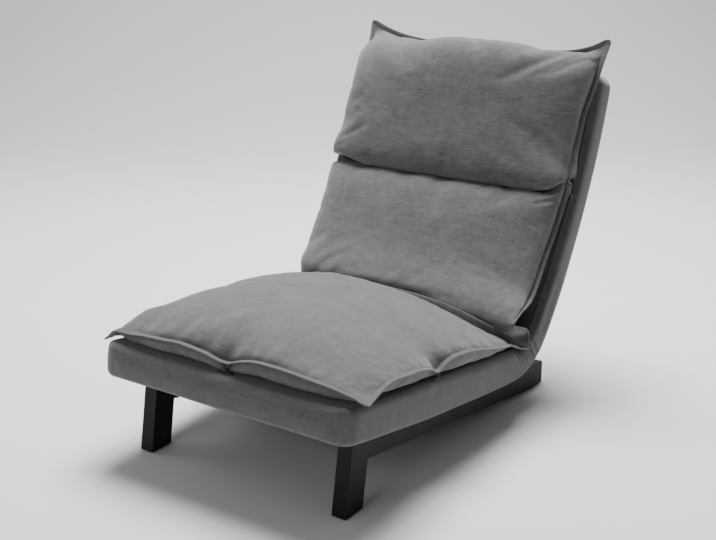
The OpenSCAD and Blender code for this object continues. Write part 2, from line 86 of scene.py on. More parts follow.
def along(w, d):
    """Y, Z of points on or in the slab: w along its outer line, d in from it."""
    w, d = np.broadcast_arrays(np.asarray(w, float), np.asarray(d, float))
    out = B(w, d)
    k = d[..., None]
    h = -TILT + (w - UB) / R1
    out = np.where((w > UB)[..., None], C1 + (R1 - k) * turn(h), out)
    s = w - S0
    out = np.where((s > 0)[..., None], C2 + (R2 - k) * turn(H1 + s / R2), out)
    return np.where((s > L2)[..., None], C3 + (R3 - k) * turn(H2 + (s - L2) / R3), out)


def on_back(s, h):
    """Y, Z of a point h in front of the back's face, s up from the bend; below s = 0 the line runs on straight."""
    s, h = np.broadcast_arrays(np.asarray(s, float), np.asarray(h, float))
    low = P2 + s[..., None] * np.array([math.cos(H1), math.sin(H1)]) + (T + h)[..., None] * np.array([-math.sin(H1), math.cos(H1)])
    return np.where((s < 0)[..., None], low, along(S0 + s, T + h))


def on_seat(u, h):
    return B(u, T + np.asarray(h, float))


def world(x, yz):
    """Metres in the shared frame, from X and (Y, Z) in millimetres."""
    x = np.broadcast_to(np.asarray(x, float), yz.shape[:-1])
    return np.stack([x / 1000, (yz[..., 0] - YS) / 1000, yz[..., 1] / 1000], -1)


def table(t, rows):
    """Smooth values through rows of (t, value, ...), at the places t."""
    rows = np.array(rows, float)
    t = np.asarray(t, float)
    x, y = rows[:, 0], rows[:, 1:]
    step = np.diff(x)
    slope = np.diff(y, axis=0) / step[:, None]
    m = np.zeros_like(y)
    m[0], m[-1] = slope[0], slope[-1]
    for i in range(1, len(x) - 1):
        a, b = slope[i - 1], slope[i]
        w1, w2 = 2 * step[i] + step[i - 1], step[i] + 2 * step[i - 1]
        with np.errstate(divide="ignore", invalid="ignore"):
            v = (w1 + w2) / (w1 / a + w2 / b)
        m[i] = np.where(a * b > 0, v, 0)
    k = np.clip(np.searchsorted(x, t, side="right") - 1, 0, len(x) - 2)
    q = np.clip((t - x[k]) / step[k], 0, 1)[..., None]
    hh = step[k][..., None]
    out = (1 + 2 * q) * (1 - q) ** 2 * y[k] + q * (1 - q) ** 2 * hh * m[k] + q * q * (3 - 2 * q) * y[k + 1] + q * q * (q - 1) * hh * m[k + 1]
    return out[..., 0] if rows.shape[1] == 2 else out


def path(points, t):
    """Points of a smooth curve through the given ones, at shares t of its length."""
    p = np.array(points, float)
    d = np.concatenate([[0], np.cumsum(np.linalg.norm(np.diff(p, axis=0), axis=1))])
    fine = curve_through(p, d, np.linspace(0, d[-1], 600))
    e = np.concatenate([[0], np.cumsum(np.linalg.norm(np.diff(fine, axis=0), axis=1))])
    e /= e[-1]
    return np.stack([np.interp(t, e, fine[:, i]) for i in range(p.shape[1])], -1)


def curve_through(p, d, t):
    m = np.zeros_like(p)
    m[1:-1] = (p[2:] - p[:-2]) / (d[2:] - d[:-2])[:, None]
    m[0], m[-1] = (p[1] - p[0]) / (d[1] - d[0]), (p[-1] - p[-2]) / (d[-1] - d[-2])
    k = np.clip(np.searchsorted(d, t, side="right") - 1, 0, len(d) - 2)
    hh = (d[k + 1] - d[k])[:, None]
    q = ((t - d[k])[:, None]) / hh
    return (1 + 2 * q) * (1 - q) ** 2 * p[k] + q * (1 - q) ** 2 * hh * m[k] + q * q * (3 - 2 * q) * p[k + 1] + q * q * (q - 1) * hh * m[k + 1]


def wave(points, scale, seed):
    """Smooth noise from -1 to 1 at points in metres."""
    off = Vector((seed * 7.31, seed * 3.17, seed * 5.93))
    return np.array([noise.noise(Vector(p) * scale + off) for p in np.asarray(points).reshape(-1, 3)]).reshape(np.asarray(points).shape[:-1])


def smooth(x):
    x = np.clip(x, 0, 1)
    return x * x * (3 - 2 * x)


# ------------------------------------------------------------------ materials
def principled(name):
    m = bpy.data.materials.new(name)
    m.use_nodes = True
    nt = m.node_tree
    return m, nt, nt.nodes["Principled BSDF"]


def node(nt, kind, **values):
    n = nt.nodes.new(kind)
    for k, v in values.items():
        if k.startswith("in_"):
            n.inputs[k[3:].replace("_", " ")].default_value = v
        else:
            setattr(n, k, v)
    return n


def maths(nt, op, a, b=None, clamp=False):
    n = nt.nodes.new("ShaderNodeMath")
    n.operation = op
    n.use_clamp = clamp
    for i, v in enumerate((a, b)):
        if v is None:
            continue
        if isinstance(v, (int, float)):
            n.inputs[i].default_value = v
        else:
            nt.links.new(v, n.inputs[i])
    return n.outputs[0]


def noise_at(nt, vector, scale, detail=3.0, rough=0.5, stretch=None):
    if stretch:
        mp = node(nt, "ShaderNodeMapping")
        mp.inputs["Scale"].default_value = stretch
        nt.links.new(vector, mp.inputs["Vector"])
        vector = mp.outputs["Vector"]
    n = node(nt, "ShaderNodeTexNoise")
    n.inputs["Scale"].default_value = scale
    n.inputs["Detail"].default_value = detail
    n.inputs["Roughness"].default_value = rough
    nt.links.new(vector, n.inputs["Vector"])
    return n.outputs["Fac"]


def fabric(name, shade, coords="UV", nap=1.0, sheen=0.35, painted_shade_reach=0.05):
    """Brushed chenille: fine slubs along the first direction of the cloth, a soft nap in patches, a fine weave, and
    painted shade that darkens it in creases and gaps.
    """
    m, nt, bsdf = principled(name)
    tc = node(nt, "ShaderNodeTexCoord")
    at = tc.outputs[coords]
    slub = noise_at(nt, at, 1.0, 3.0, 0.6, (52, 480, 60))
    slub2 = noise_at(nt, at, 1.0, 2.0, 0.5, (17, 170, 40))
    cross = noise_at(nt, at, 1.0, 2.0, 0.5, (430, 40, 60))
    patch = noise_at(nt, at, 15.0, 4.0, 0.6)
    patch2 = noise_at(nt, at, 55.0, 3.0, 0.6)
    grain = noise_at(nt, at, 900.0, 2.0, 0.6)
    v = maths(nt, "MULTIPLY", maths(nt, "SUBTRACT", slub, 0.5), 0.95)
    v = maths(nt, "ADD", v, maths(nt, "MULTIPLY", maths(nt, "SUBTRACT", slub2, 0.5), 0.55))
    v = maths(nt, "ADD", v, maths(nt, "MULTIPLY", maths(nt, "SUBTRACT", cross, 0.5), 0.45))
    v = maths(nt, "ADD", v, maths(nt, "MULTIPLY", maths(nt, "SUBTRACT", patch, 0.5), 0.42 * nap))
    v = maths(nt, "ADD", v, maths(nt, "MULTIPLY", maths(nt, "SUBTRACT", patch2, 0.5), 0.42 * nap))
    v = maths(nt, "ADD", v, maths(nt, "MULTIPLY", maths(nt, "SUBTRACT", grain, 0.5), 0.3))
    v = maths(nt, "ADD", v, 1.0)
    # painted shade: ambient occlusion within a few centimetres darkens the colour, down to about half, in creases, gaps
    # and under the flanges
    ao = node(nt, "ShaderNodeAmbientOcclusion", samples=4)
    ao.inputs["Distance"].default_value = painted_shade_reach
    painted_crevice_shade = node(nt, "ShaderNodeMapRange", in_From_Min=0.12, in_From_Max=0.72, in_To_Min=0.52, in_To_Max=1.0)
    nt.links.new(ao.outputs["AO"], painted_crevice_shade.inputs["Value"])
    v = maths(nt, "MULTIPLY", v, painted_crevice_shade.outputs["Result"])
    mix = node(nt, "ShaderNodeVectorMath", operation="SCALE")
    mix.inputs[0].default_value = (shade, shade, shade * 1.012)
    nt.links.new(v, mix.inputs["Scale"])
    nt.links.new(mix.outputs[0], bsdf.inputs["Base Color"])
    rough = maths(nt, "ADD", 0.86, maths(nt, "MULTIPLY", maths(nt, "SUBTRACT", patch2, 0.5), 0.2), True)
    nt.links.new(rough, bsdf.inputs["Roughness"])
    bsdf.inputs["Sheen Weight"].default_value = sheen
    bsdf.inputs["Sheen Roughness"].default_value = 0.55
    bsdf.inputs["Sheen Tint"].default_value = (0.9, 0.9, 0.92, 1)
    bsdf.inputs["Specular IOR Level"].default_value = 0.2
    height = maths(nt, "ADD", maths(nt, "MULTIPLY", slub, 0.8), maths(nt, "ADD", maths(nt, "MULTIPLY", grain, 0.5), maths(nt, "MULTIPLY", cross, 0.35)))
    bump = node(nt, "ShaderNodeBump")
    bump.inputs["Strength"].default_value = 0.55
    bump.inputs["Distance"].default_value = 0.0011
    nt.links.new(height, bump.inputs["Height"])
    nt.links.new(bump.outputs["Normal"], bsdf.inputs["Normal"])
    return m


def coated_steel(name, shade=0.0025):
    """Black powder coat: a fine orange peel, a little lighter and smoother where an edge is rubbed."""
    m, nt, bsdf = principled(name)
    tc = node(nt, "ShaderNodeTexCoord")
    at = tc.outputs["Object"]
    peel = noise_at(nt, at, 900.0, 2.0, 0.5)
    cloud = noise_at(nt, at, 24.0, 4.0, 0.6)
    geo = node(nt, "ShaderNodeNewGeometry")
    edge = node(nt, "ShaderNodeMapRange", in_From_Min=0.52, in_From_Max=0.64, in_To_Min=0.0, in_To_Max=1.0)
    nt.links.new(geo.outputs["Pointiness"], edge.inputs["Value"])
    worn = maths(nt, "MULTIPLY", edge.outputs["Result"], cloud)
    ramp = node(nt, "ShaderNodeMix", data_type="RGBA")
    ramp.inputs[6].default_value = (shade, shade, shade * 1.05, 1)
    ramp.inputs[7].default_value = (shade * 4, shade * 4, shade * 4.1, 1)
    nt.links.new(maths(nt, "ADD", maths(nt, "MULTIPLY", cloud, 0.12), maths(nt, "MULTIPLY", worn, 0.5), True), ramp.inputs[0])
    nt.links.new(ramp.outputs[2], bsdf.inputs["Base Color"])
    nt.links.new(maths(nt, "ADD", 0.5, maths(nt, "MULTIPLY", cloud, 0.2)), bsdf.inputs["Roughness"])
    bsdf.inputs["Specular IOR Level"].default_value = 0.28
    bump = node(nt, "ShaderNodeBump")
    bump.inputs["Strength"].default_value = 0.25
    bump.inputs["Distance"].default_value = 0.0003
    nt.links.new(peel, bump.inputs["Height"])
    nt.links.new(bump.outputs["Normal"], bsdf.inputs["Normal"])
    return m


def plastic(name, shade, rough=0.5):
    m, nt, bsdf = principled(name)
    tc = node(nt, "ShaderNodeTexCoord")
    at = tc.outputs["Object"]
    fine = noise_at(nt, at, 1400.0, 2.0, 0.5)
    cloud = noise_at(nt, at, 30.0, 3.0, 0.5)
    col = node(nt, "ShaderNodeMix", data_type="RGBA")
    col.inputs[6].default_value = (shade, shade, shade, 1)
    col.inputs[7].default_value = (shade * 1.7, shade * 1.7, shade * 1.7, 1)
    nt.links.new(cloud, col.inputs[0])
    nt.links.new(col.outputs[2], bsdf.inputs["Base Color"])
    nt.links.new(maths(nt, "ADD", rough, maths(nt, "MULTIPLY", cloud, 0.12)), bsdf.inputs["Roughness"])
    bump = node(nt, "ShaderNodeBump")
    bump.inputs["Strength"].default_value = 0.3
    bump.inputs["Distance"].default_value = 0.0002
    nt.links.new(fine, bump.inputs["Height"])
    nt.links.new(bump.outputs["Normal"], bsdf.inputs["Normal"])
    return m


def bright_steel(name, shade=0.55, rough=0.32):
    """Zinc-plated steel with faint drawing lines and clouding."""
    m, nt, bsdf = principled(name)
    tc = node(nt, "ShaderNodeTexCoord")
    at = tc.outputs["Object"]
    lines = noise_at(nt, at, 1.0, 3.0, 0.6, (900, 60, 900))
    cloud = noise_at(nt, at, 60.0, 4.0, 0.6)
    col = node(nt, "ShaderNodeMix", data_type="RGBA")
    col.inputs[6].default_value = (shade * 0.8, shade * 0.8, shade * 0.82, 1)
    col.inputs[7].default_value = (shade * 1.15, shade * 1.14, shade * 1.1, 1)
    nt.links.new(cloud, col.inputs[0])
    nt.links.new(col.outputs[2], bsdf.inputs["Base Color"])
    bsdf.inputs["Metallic"].default_value = 1.0
    nt.links.new(maths(nt, "ADD", rough, maths(nt, "MULTIPLY", lines, 0.15)), bsdf.inputs["Roughness"])
    bump = node(nt, "ShaderNodeBump")
    bump.inputs["Strength"].default_value = 0.15
    bump.inputs["Distance"].default_value = 0.0002
    nt.links.new(lines, bump.inputs["Height"])
    nt.links.new(bump.outputs["Normal"], bsdf.inputs["Normal"])
    return m


def woven(name, shade, scale=700.0):
    """Plain woven cloth or elastic webbing, from the object's own coordinates."""
    m, nt, bsdf = principled(name)
    tc = node(nt, "ShaderNodeTexCoord")
    at = tc.outputs["Object"]
    a = node(nt, "ShaderNodeTexWave", wave_type="BANDS", bands_direction="X")
    a.inputs["Scale"].default_value = scale / 6.3
    a.inputs["Distortion"].default_value = 0.6
    b = node(nt, "ShaderNodeTexWave", wave_type="BANDS", bands_direction="Y")
    b.inputs["Scale"].default_value = scale / 6.3
    b.inputs["Distortion"].default_value = 0.6
    nt.links.new(at, a.inputs["Vector"])
    nt.links.new(at, b.inputs["Vector"])
    weave = maths(nt, "MULTIPLY", a.outputs["Fac"], b.outputs["Fac"])
    cloud = noise_at(nt, at, 40.0, 3.0, 0.6)
    col = node(nt, "ShaderNodeMix", data_type="RGBA")
    col.inputs[6].default_value = (shade * 0.7, shade * 0.7, shade * 0.7, 1)
    col.inputs[7].default_value = (shade * 1.5, shade * 1.5, shade * 1.52, 1)
    nt.links.new(maths(nt, "ADD", maths(nt, "MULTIPLY", weave, 0.6), maths(nt, "MULTIPLY", cloud, 0.4)), col.inputs[0])
    nt.links.new(col.outputs[2], bsdf.inputs["Base Color"])
    nt.links.new(maths(nt, "ADD", 0.8, maths(nt, "MULTIPLY", cloud, 0.15)), bsdf.inputs["Roughness"])
    bsdf.inputs["Sheen Weight"].default_value = 0.15
    bump = node(nt, "ShaderNodeBump")
    bump.inputs["Strength"].default_value = 0.4
    bump.inputs["Distance"].default_value = 0.0004
    nt.links.new(weave, bump.inputs["Height"])
    nt.links.new(bump.outputs["Normal"], bsdf.inputs["Normal"])
    return m


def foam_mat(name):
    m, nt, bsdf = principled(name)
    tc = node(nt, "ShaderNodeTexCoord")
    at = tc.outputs["Object"]
    cells = node(nt, "ShaderNodeTexVoronoi")
    cells.inputs["Scale"].default_value = 700.0
    nt.links.new(at, cells.inputs["Vector"])
    cloud = noise_at(nt, at, 30.0, 3.0, 0.6)
    col = node(nt, "ShaderNodeMix", data_type="RGBA")
    col.inputs[6].default_value = (0.62, 0.56, 0.4, 1)
    col.inputs[7].default_value = (0.8, 0.74, 0.56, 1)
    nt.links.new(cloud, col.inputs[0])
    nt.links.new(col.outputs[2], bsdf.inputs["Base Color"])
    nt.links.new(maths(nt, "ADD", 0.85, maths(nt, "MULTIPLY", cloud, 0.1)), bsdf.inputs["Roughness"])
    bump = node(nt, "ShaderNodeBump")
    bump.inputs["Strength"].default_value = 0.4
    bump.inputs["Distance"].default_value = 0.0006
    nt.links.new(cells.outputs["Distance"], bump.inputs["Height"])
    nt.links.new(bump.outputs["Normal"], bsdf.inputs["Normal"])
    return m


CLOTH = 0.105
mats = {
    "cushion": fabric("cushion_chenille", CLOTH * 0.985, nap=1.7, sheen=0.42, painted_shade_reach=0.06),
    # painted shade: the flanges are the cushions' own fabric, set darker to stand in for the shade they sit in
    "flange": fabric("flange_chenille", CLOTH * 0.84, nap=0.5, sheen=0.45),
    # painted shade: the slab's cover is the same fabric, set darker to stand in for the shade on its front and sides
    "slab": fabric("slab_chenille", CLOTH * 0.86, sheen=0.35, painted_shade_reach=0.02),
    "thread": woven("sewing_thread", 0.12, 2400.0),
    "tie": woven("tie_thread", 0.02, 1500.0),
    "steel": coated_steel("black_powder_coat"),
    "plastic": plastic("black_plastic", 0.012),
    "zinc": bright_steel("zinc_steel"),
    "hinge": bright_steel("hinge_steel", 0.42, 0.38),
    "spring": bright_steel("spring_steel", 0.3, 0.3),
    "strap": woven("elastic_strap", 0.03, 900.0),
    "dust": woven("dust_cloth", 0.02, 1600.0),
    "foam": foam_mat("foam"),
}

cad_finish = {
    "leg_left": "steel", "leg_right": "steel", "rail_left": "steel", "rail_right": "steel",
    "front_crossbar": "steel", "rear_crossbar": "steel", "leg_glides": "plastic", "rail_end_caps": "plastic",
    "seat_frame": "zinc", "back_frame": "zinc", "seat_straps": "strap", "back_straps": "strap",
    "seat_bolts": "zinc", "seat_nuts": "zinc", "seat_dust_cloth": "dust", "seat_foam": "foam", "back_foam": "foam",
    "seat_cover": "slab", "back_cover": "slab", "seat_cushion": "cushion", "lumbar_cushion": "cushion",
    "head_cushion": "cushion", "seat_cushion_ties": "tie", "back_cushion_ties": "tie",
    "hinge_plate_left": "hinge", "hinge_plate_right": "hinge", "hinge_arm_left": "hinge", "hinge_arm_right": "hinge",
    "hinge_pivots": "hinge", "pawl_pins": "hinge", "pawl_springs": "spring", "pawl_left": "hinge", "pawl_right": "hinge",
}
for name, obj in frame["nodes"].items():
    obj.data.materials.clear()
    obj.data.materials.append(mats[cad_finish[name]])


# ------------------------------------------------------------------ mesh helpers
def make(name, verts, faces, mat, uv=None, smooth=True, merge=0.0):
    me = bpy.data.meshes.new(name)
    me.from_pydata([tuple(v) for v in np.asarray(verts).reshape(-1, 3)], [], [tuple(int(i) for i in f) for f in faces])
    if uv is not None:
        uv = np.asarray(uv).reshape(-1, 2)
        layer = me.uv_layers.new(name="UVMap")
        idx = np.zeros(len(me.loops), np.int32)
        me.loops.foreach_get("vertex_index", idx)
        layer.data.foreach_set("uv", uv[idx].astype(np.float32).ravel())
    me.materials.append(mats[mat])
    if smooth:
        me.polygons.foreach_set("use_smooth", [True] * len(me.polygons))
    o = bpy.data.objects.new(name, me)
    bpy.context.scene.collection.objects.link(o)
    if merge:
        import bmesh
        bm = bmesh.new()
        bm.from_mesh(me)
        bmesh.ops.remove_doubles(bm, verts=bm.verts, dist=merge)
        bmesh.ops.recalc_face_normals(bm, faces=bm.faces)
        bm.to_mesh(me)
        bm.free()
    me.update()
    return o


def apply_all(o):
    """Turns an object's modifiers into mesh."""
    dg = bpy.context.evaluated_depsgraph_get()
    me = bpy.data.meshes.new_from_object(o.evaluated_get(dg), depsgraph=dg)
    old = o.data
    o.modifiers.clear()
    o.data = me
    me.name = old.name
    bpy.data.meshes.remove(old)
    return o


def subdivide(o, levels=1):
    m = o.modifiers.new("subdivision", "SUBSURF")
    m.levels = m.render_levels = levels
    return apply_all(o)


# ------------------------------------------------------------------ the slab's cover, one skin over seat, bend and back
END = S0 + L2 + L3 + 6
FRONT = -57.0


def slab_cover():
    top_r, low_r, plan_r, cap_r = 20.0, 13.0, 30.0, 20.0
    zone = np.array([0, 0.5, 1.8, 4, 7, 10.5, 14.5, 19, 24, 30.0])
    first = FRONT + zone
    mid = np.concatenate([np.arange(FRONT + 40, UB - 30, 14.0), np.arange(UB - 30, S0 + 60, 5.0), np.arange(S0 + 60, END - 45, 13.0)])
    last = END - zone[::-1]
    ws = np.concatenate([first, mid[(mid > first[-1] + 4) & (mid < last[0] - 4)], last])
    half = []

    def ring(w, inset=0.0):
        f, g = w - FRONT, END - w
        W, d0, d1 = 300.0, 0.0, T
        if f < plan_r:
            W -= plan_r - math.sqrt(max(plan_r ** 2 - (plan_r - f) ** 2, 0))
        if g < plan_r:
            W -= plan_r - math.sqrt(max(plan_r ** 2 - (plan_r - g) ** 2, 0))
        if f < low_r:
            d0 += low_r - math.sqrt(max(low_r ** 2 - (low_r - f) ** 2, 0))
        if f < top_r:
            d1 -= top_r - math.sqrt(max(top_r ** 2 - (top_r - f) ** 2, 0))
        if g < cap_r:
            d0 += cap_r - math.sqrt(max(cap_r ** 2 - (cap_r - g) ** 2, 0))
            d1 -= cap_r - math.sqrt(max(cap_r ** 2 - (cap_r - g) ** 2, 0))
        W, d0, d1 = W - inset, d0 + inset, d1 - inset
        h = (d1 - d0) / 2
        r = min(13.0, max(h * 0.75, 0.01))
        xs = np.concatenate([np.linspace(0, 262, 12), [270, 278]]) * (W - r) / 286.0
        pts = [(x, d0) for x in xs]
        pts += [(W - r + r * math.sin(a), d0 + r - r * math.cos(a)) for a in np.linspace(0, math.pi / 2, 6)]
        pts += [(W, d) for d in np.linspace(d0 + r, d1 - r, 9)[1:-1]]
        pts += [(W - r + r * math.cos(a), d1 - r + r * math.sin(a)) for a in np.linspace(0, math.pi / 2, 6)]
        pts += [(x, d1) for x in xs[::-1]]
        return np.array(pts)

    rings, wlist, inset_list = [], [], []
    for inset, bulge in ((20, 2.6), (16, 2.5), (11, 2.0), (5, 1.1)):
        rings.append(ring(FRONT, inset)); wlist.append(FRONT - bulge); inset_list.append(inset)
    for w in ws:
        rings.append(ring(w)); wlist.append(w); inset_list.append(0)
    for inset, bulge in ((4, 0.8), (8, 1.5), (12, 2.0), (16, 2.2)):
        rings.append(ring(END, inset)); wlist.append(END + bulge); inset_list.append(inset)
    R = np.array(rings)                                  # rings x half loop x (x, d)
    Wv = np.array(wlist)[:, None] * np.ones(R.shape[1])
    X, D = R[..., 0], R[..., 1]
    # the sides are a little full, and hang below the rails between the front and the bend
    side = np.clip((X - 285) / 15, 0, 1)
    X = X + side * (3.2 + 3.0 * (1 - ((D - 36) / 36) ** 2))
    over = np.clip((X - 264) / 34, 0, 1) ** 1.5
    sag = np.sin(np.clip((Wv + 40) / 660, 0, 1) * math.pi) ** 0.8
    D = D - 9.0 * over * sag * np.clip(1 - D / 60, 0, 1)
    # puckers where the flanges are tacked down at the sides: a broad soft one and a narrow deep one
    for w0, wide, deep in ((262, 26, 3.2), (243, 7, 6.5)):
        g = np.exp(-((Wv - w0) / wide) ** 2) * side * np.clip((D - 32) / 40, 0, 1)
        X = X - deep * g
    # behind them, beside the seat cushion, its upper edge is rolled over
    X = X - 4.0 * side * np.clip((D - 50) / 22, 0, 1) ** 1.5 * smooth((Wv - 300) / 60) * smooth((620 - Wv) / 60)
    # creases fanning out from the inside of the bend, on both sides: the lower ones trail further back
    inner = np.clip((D - 6) / 40, 0, 1)
    for w0, lean, a, wd in ((578, 66, 5.2, 5.5), (597, 58, 6.8, 5.0), (622, 42, 6.5, 5.5), (646, 28, 4.8, 5.0), (668, 17, 6.8, 5.5), (698, 2, 4.6, 6.0)):
        c = w0 + lean * (1 - D / T) ** 1.25
        fade = side * inner
        crease = np.exp(-((Wv - c) / wd) ** 2)
        ridge = np.exp(-((Wv - c - wd * 1.7) / wd) ** 2)
        X = X - a * crease * fade + a * 0.55 * ridge * fade
        D = D - 0.7 * a * crease * np.clip((D - 58) / 12, 0, 1) * np.clip((X - 262) / 30, 0, 1)
    rear = np.clip((18 - D) / 18, 0, 1)
    pts0 = world(X, along(Wv, D))
    n1 = wave(pts0, 5.5, 1)
    n2 = wave(pts0 * np.array([1, 3.0, 3.0]), 9.0, 2)
    bend = np.exp(-((Wv - 668) / 75) ** 2)
    D = D + rear * (1.2 * n1 + bend * 2.4 * n2) - rear * 3.8 * smooth((Wv - 690) / 60) * smooth((END - 8 - Wv) / 60)
    # long soft pulls running up the side of the back from the bend
    up = np.exp(-((Wv - 790) / 90) ** 2) * side
    X = X + up * 1.8 * np.sin((D - 10) / 72 * math.pi * 3.0) * np.clip((Wv - 720) / 40, 0, 1)
    front_face = np.clip((FRONT + 12 - Wv) / 12, 0, 1)
    pts0 = world(X, along(Wv, D))
    X = X + side * 0.9 * wave(pts0, 11.0, 3)
    Wv = Wv - front_face * 1.3 * wave(pts0, 8.0, 4)
    top = np.clip((D - 62) / 10, 0, 1) * np.clip((40 - Wv) / 40, 0, 1)
    D = D + top * 1.2 * wave(pts0, 10.0, 5)
    on_up = smooth((Wv - 700) / 60)
    X = X + side * on_up * (1.2 - 7.0 * np.clip((D - 48) / 24, 0, 1) ** 2)
    D = D - 5.0 * on_up * np.clip((X - 270) / 26, 0, 1) ** 2 * np.clip((D - 60) / 12, 0, 1)
    n, k = X.shape
    yz = along(Wv, D)
    right = world(X, yz)
    left = right.copy()
    left[..., 0] *= -1
    # the two sides aren't quite alike
    left[..., 0] -= (0.0012 + 0.0012 * wave(left, 6.0, 8)) * side
    loop = np.concatenate([right, left[:, ::-1][:, 1:-1]], axis=1)      # drop the shared centre points
    m = loop.shape[1]
    # distance round the loop, for the cloth's direction
    step = np.linalg.norm(np.diff(np.concatenate([loop, loop[:, :1]], 1), axis=1), axis=2)
    girth = np.concatenate([np.zeros((n, 1)), np.cumsum(step, 1)[:, :-1]], 1)
    ride = np.linalg.norm(np.diff(right[:, -1], axis=0), axis=1)
    wl = np.concatenate([[0], np.cumsum(ride)])[:, None] * np.ones(m)
    uv = np.stack([girth[n // 2][None, :] * np.ones((n, 1)), wl], -1)
    faces = [(i * m + j, i * m + (j + 1) % m, (i + 1) * m + (j + 1) % m, (i + 1) * m + j) for i in range(n - 1) for j in range(m)]
    # close both ends, pairing each point of the lower edge with the one above it
    for row in (0, n - 1):
        for at in (lambda j: row * m + j, lambda j: row * m + (m - j) % m):
            for j in range(k // 2):
                q = [at(j), at(j + 1), at(k - 2 - j), at(k - 1 - j)]
                faces.append(tuple(q[:2] + q[3:]) if q[1] == q[2] else tuple(q))
    verts = loop.reshape(-1, 3)
    o = make("slab_cover", verts, faces, "slab", uv.reshape(-1, 2))
    import bmesh
    bm = bmesh.new()
    bm.from_mesh(o.data)
    bmesh.ops.remove_doubles(bm, verts=bm.verts, dist=0.00005)
    bmesh.ops.recalc_face_normals(bm, faces=bm.faces)
    bm.to_mesh(o.data)
    bm.free()
    o.data.polygons.foreach_set("use_smooth", [True] * len(o.data.polygons))
    return o


slab = slab_cover()
subdivide(slab)


def tube(points, r, sides=6):
    """A closed tube mesh along points (metres): vertices and faces."""
    p = np.asarray(points, float)
    t = np.gradient(p, axis=0)
    t /= np.linalg.norm(t, axis=1)[:, None]
    up = np.array([0.0, 0.0, 1.0])
    a = np.cross(t, up)
    bad = np.linalg.norm(a, axis=1) < 0.2
    a[bad] = np.cross(t[bad], np.array([1.0, 0, 0]))
    a /= np.linalg.norm(a, axis=1)[:, None]
    b = np.cross(t, a)
    r = np.broadcast_to(np.asarray(r, float), (len(p),))
    ang = np.arange(sides) * 2 * math.pi / sides
    v = p[:, None] + r[:, None, None] * (np.cos(ang)[None, :, None] * a[:, None] + np.sin(ang)[None, :, None] * b[:, None])
    n = len(p)
    f = [(i * sides + j, i * sides + (j + 1) % sides, (i + 1) * sides + (j + 1) % sides, (i + 1) * sides + j) for i in range(n - 1) for j in range(sides)]
    f += [tuple(range(sides))[::-1], tuple((n - 1) * sides + j for j in range(sides))]
    return v.reshape(-1, 3), f


def gather(parts):
    verts, faces, base = [], [], 0
    for v, f in parts:
        verts.append(v)
        faces += [tuple(i + base for i in q) for q in f]
        base += len(v)
    return np.concatenate(verts), faces


# sewn seams along the slab's edges: a thin raised line where its side panels join the rear and the face
def slab_seams():
    parts = []
    wl = np.arange(FRONT + 34, END - 34, 6.0)
    for sx in (-1, 1):
        for d, inset in ((0.0, 9.5), (T, 9.5)):
            x = 300 - inset
            dd = d + (1.4 if d < 1 else -1.4)
            sag = np.sin(np.clip((wl + 40) / 660, 0, 1) * math.pi) ** 0.8
            low = 9.0 * (max(0, (x - 264) / 34)) ** 1.5 * sag if d < 1 else 0
            yz = along(wl, dd - low)
            parts.append(tube(world(sx * x * np.ones(len(wl)), yz), 0.0011, 5))
    return make("slab_seams", *gather(parts), "slab", smooth=True)


# ------------------------------------------------------------------ cushions
def spread(n, edge):
    """Places from -1 to 1, closer together towards both ends."""
    t = np.linspace(-1, 1, n + 1)
    return np.sign(t) * (1 - (1 - np.abs(t)) ** edge)


def even(line):
    return lambda b: path(line, (np.asarray(b) + 1) / 2)


def section(rows, half, height=75.0):
    """A cross-section from the seam inwards: how far out of the seam (mm) and what share of the height, by share of the way."""
    rows = [(dx, s * height) for dx, s in rows] + [(-half, height)]

    def f(a):
        q = path(rows, (1 - np.abs(a)).ravel()).reshape(np.shape(a) + (2,))
        return q[..., 0], q[..., 1] / height
    return f


def sides(left, right):
    def f(a):
        l, r = left(a), right(a)
        return np.where(a < 0, l[0], r[0]), np.where(a < 0, l[1], r[1])
    return f


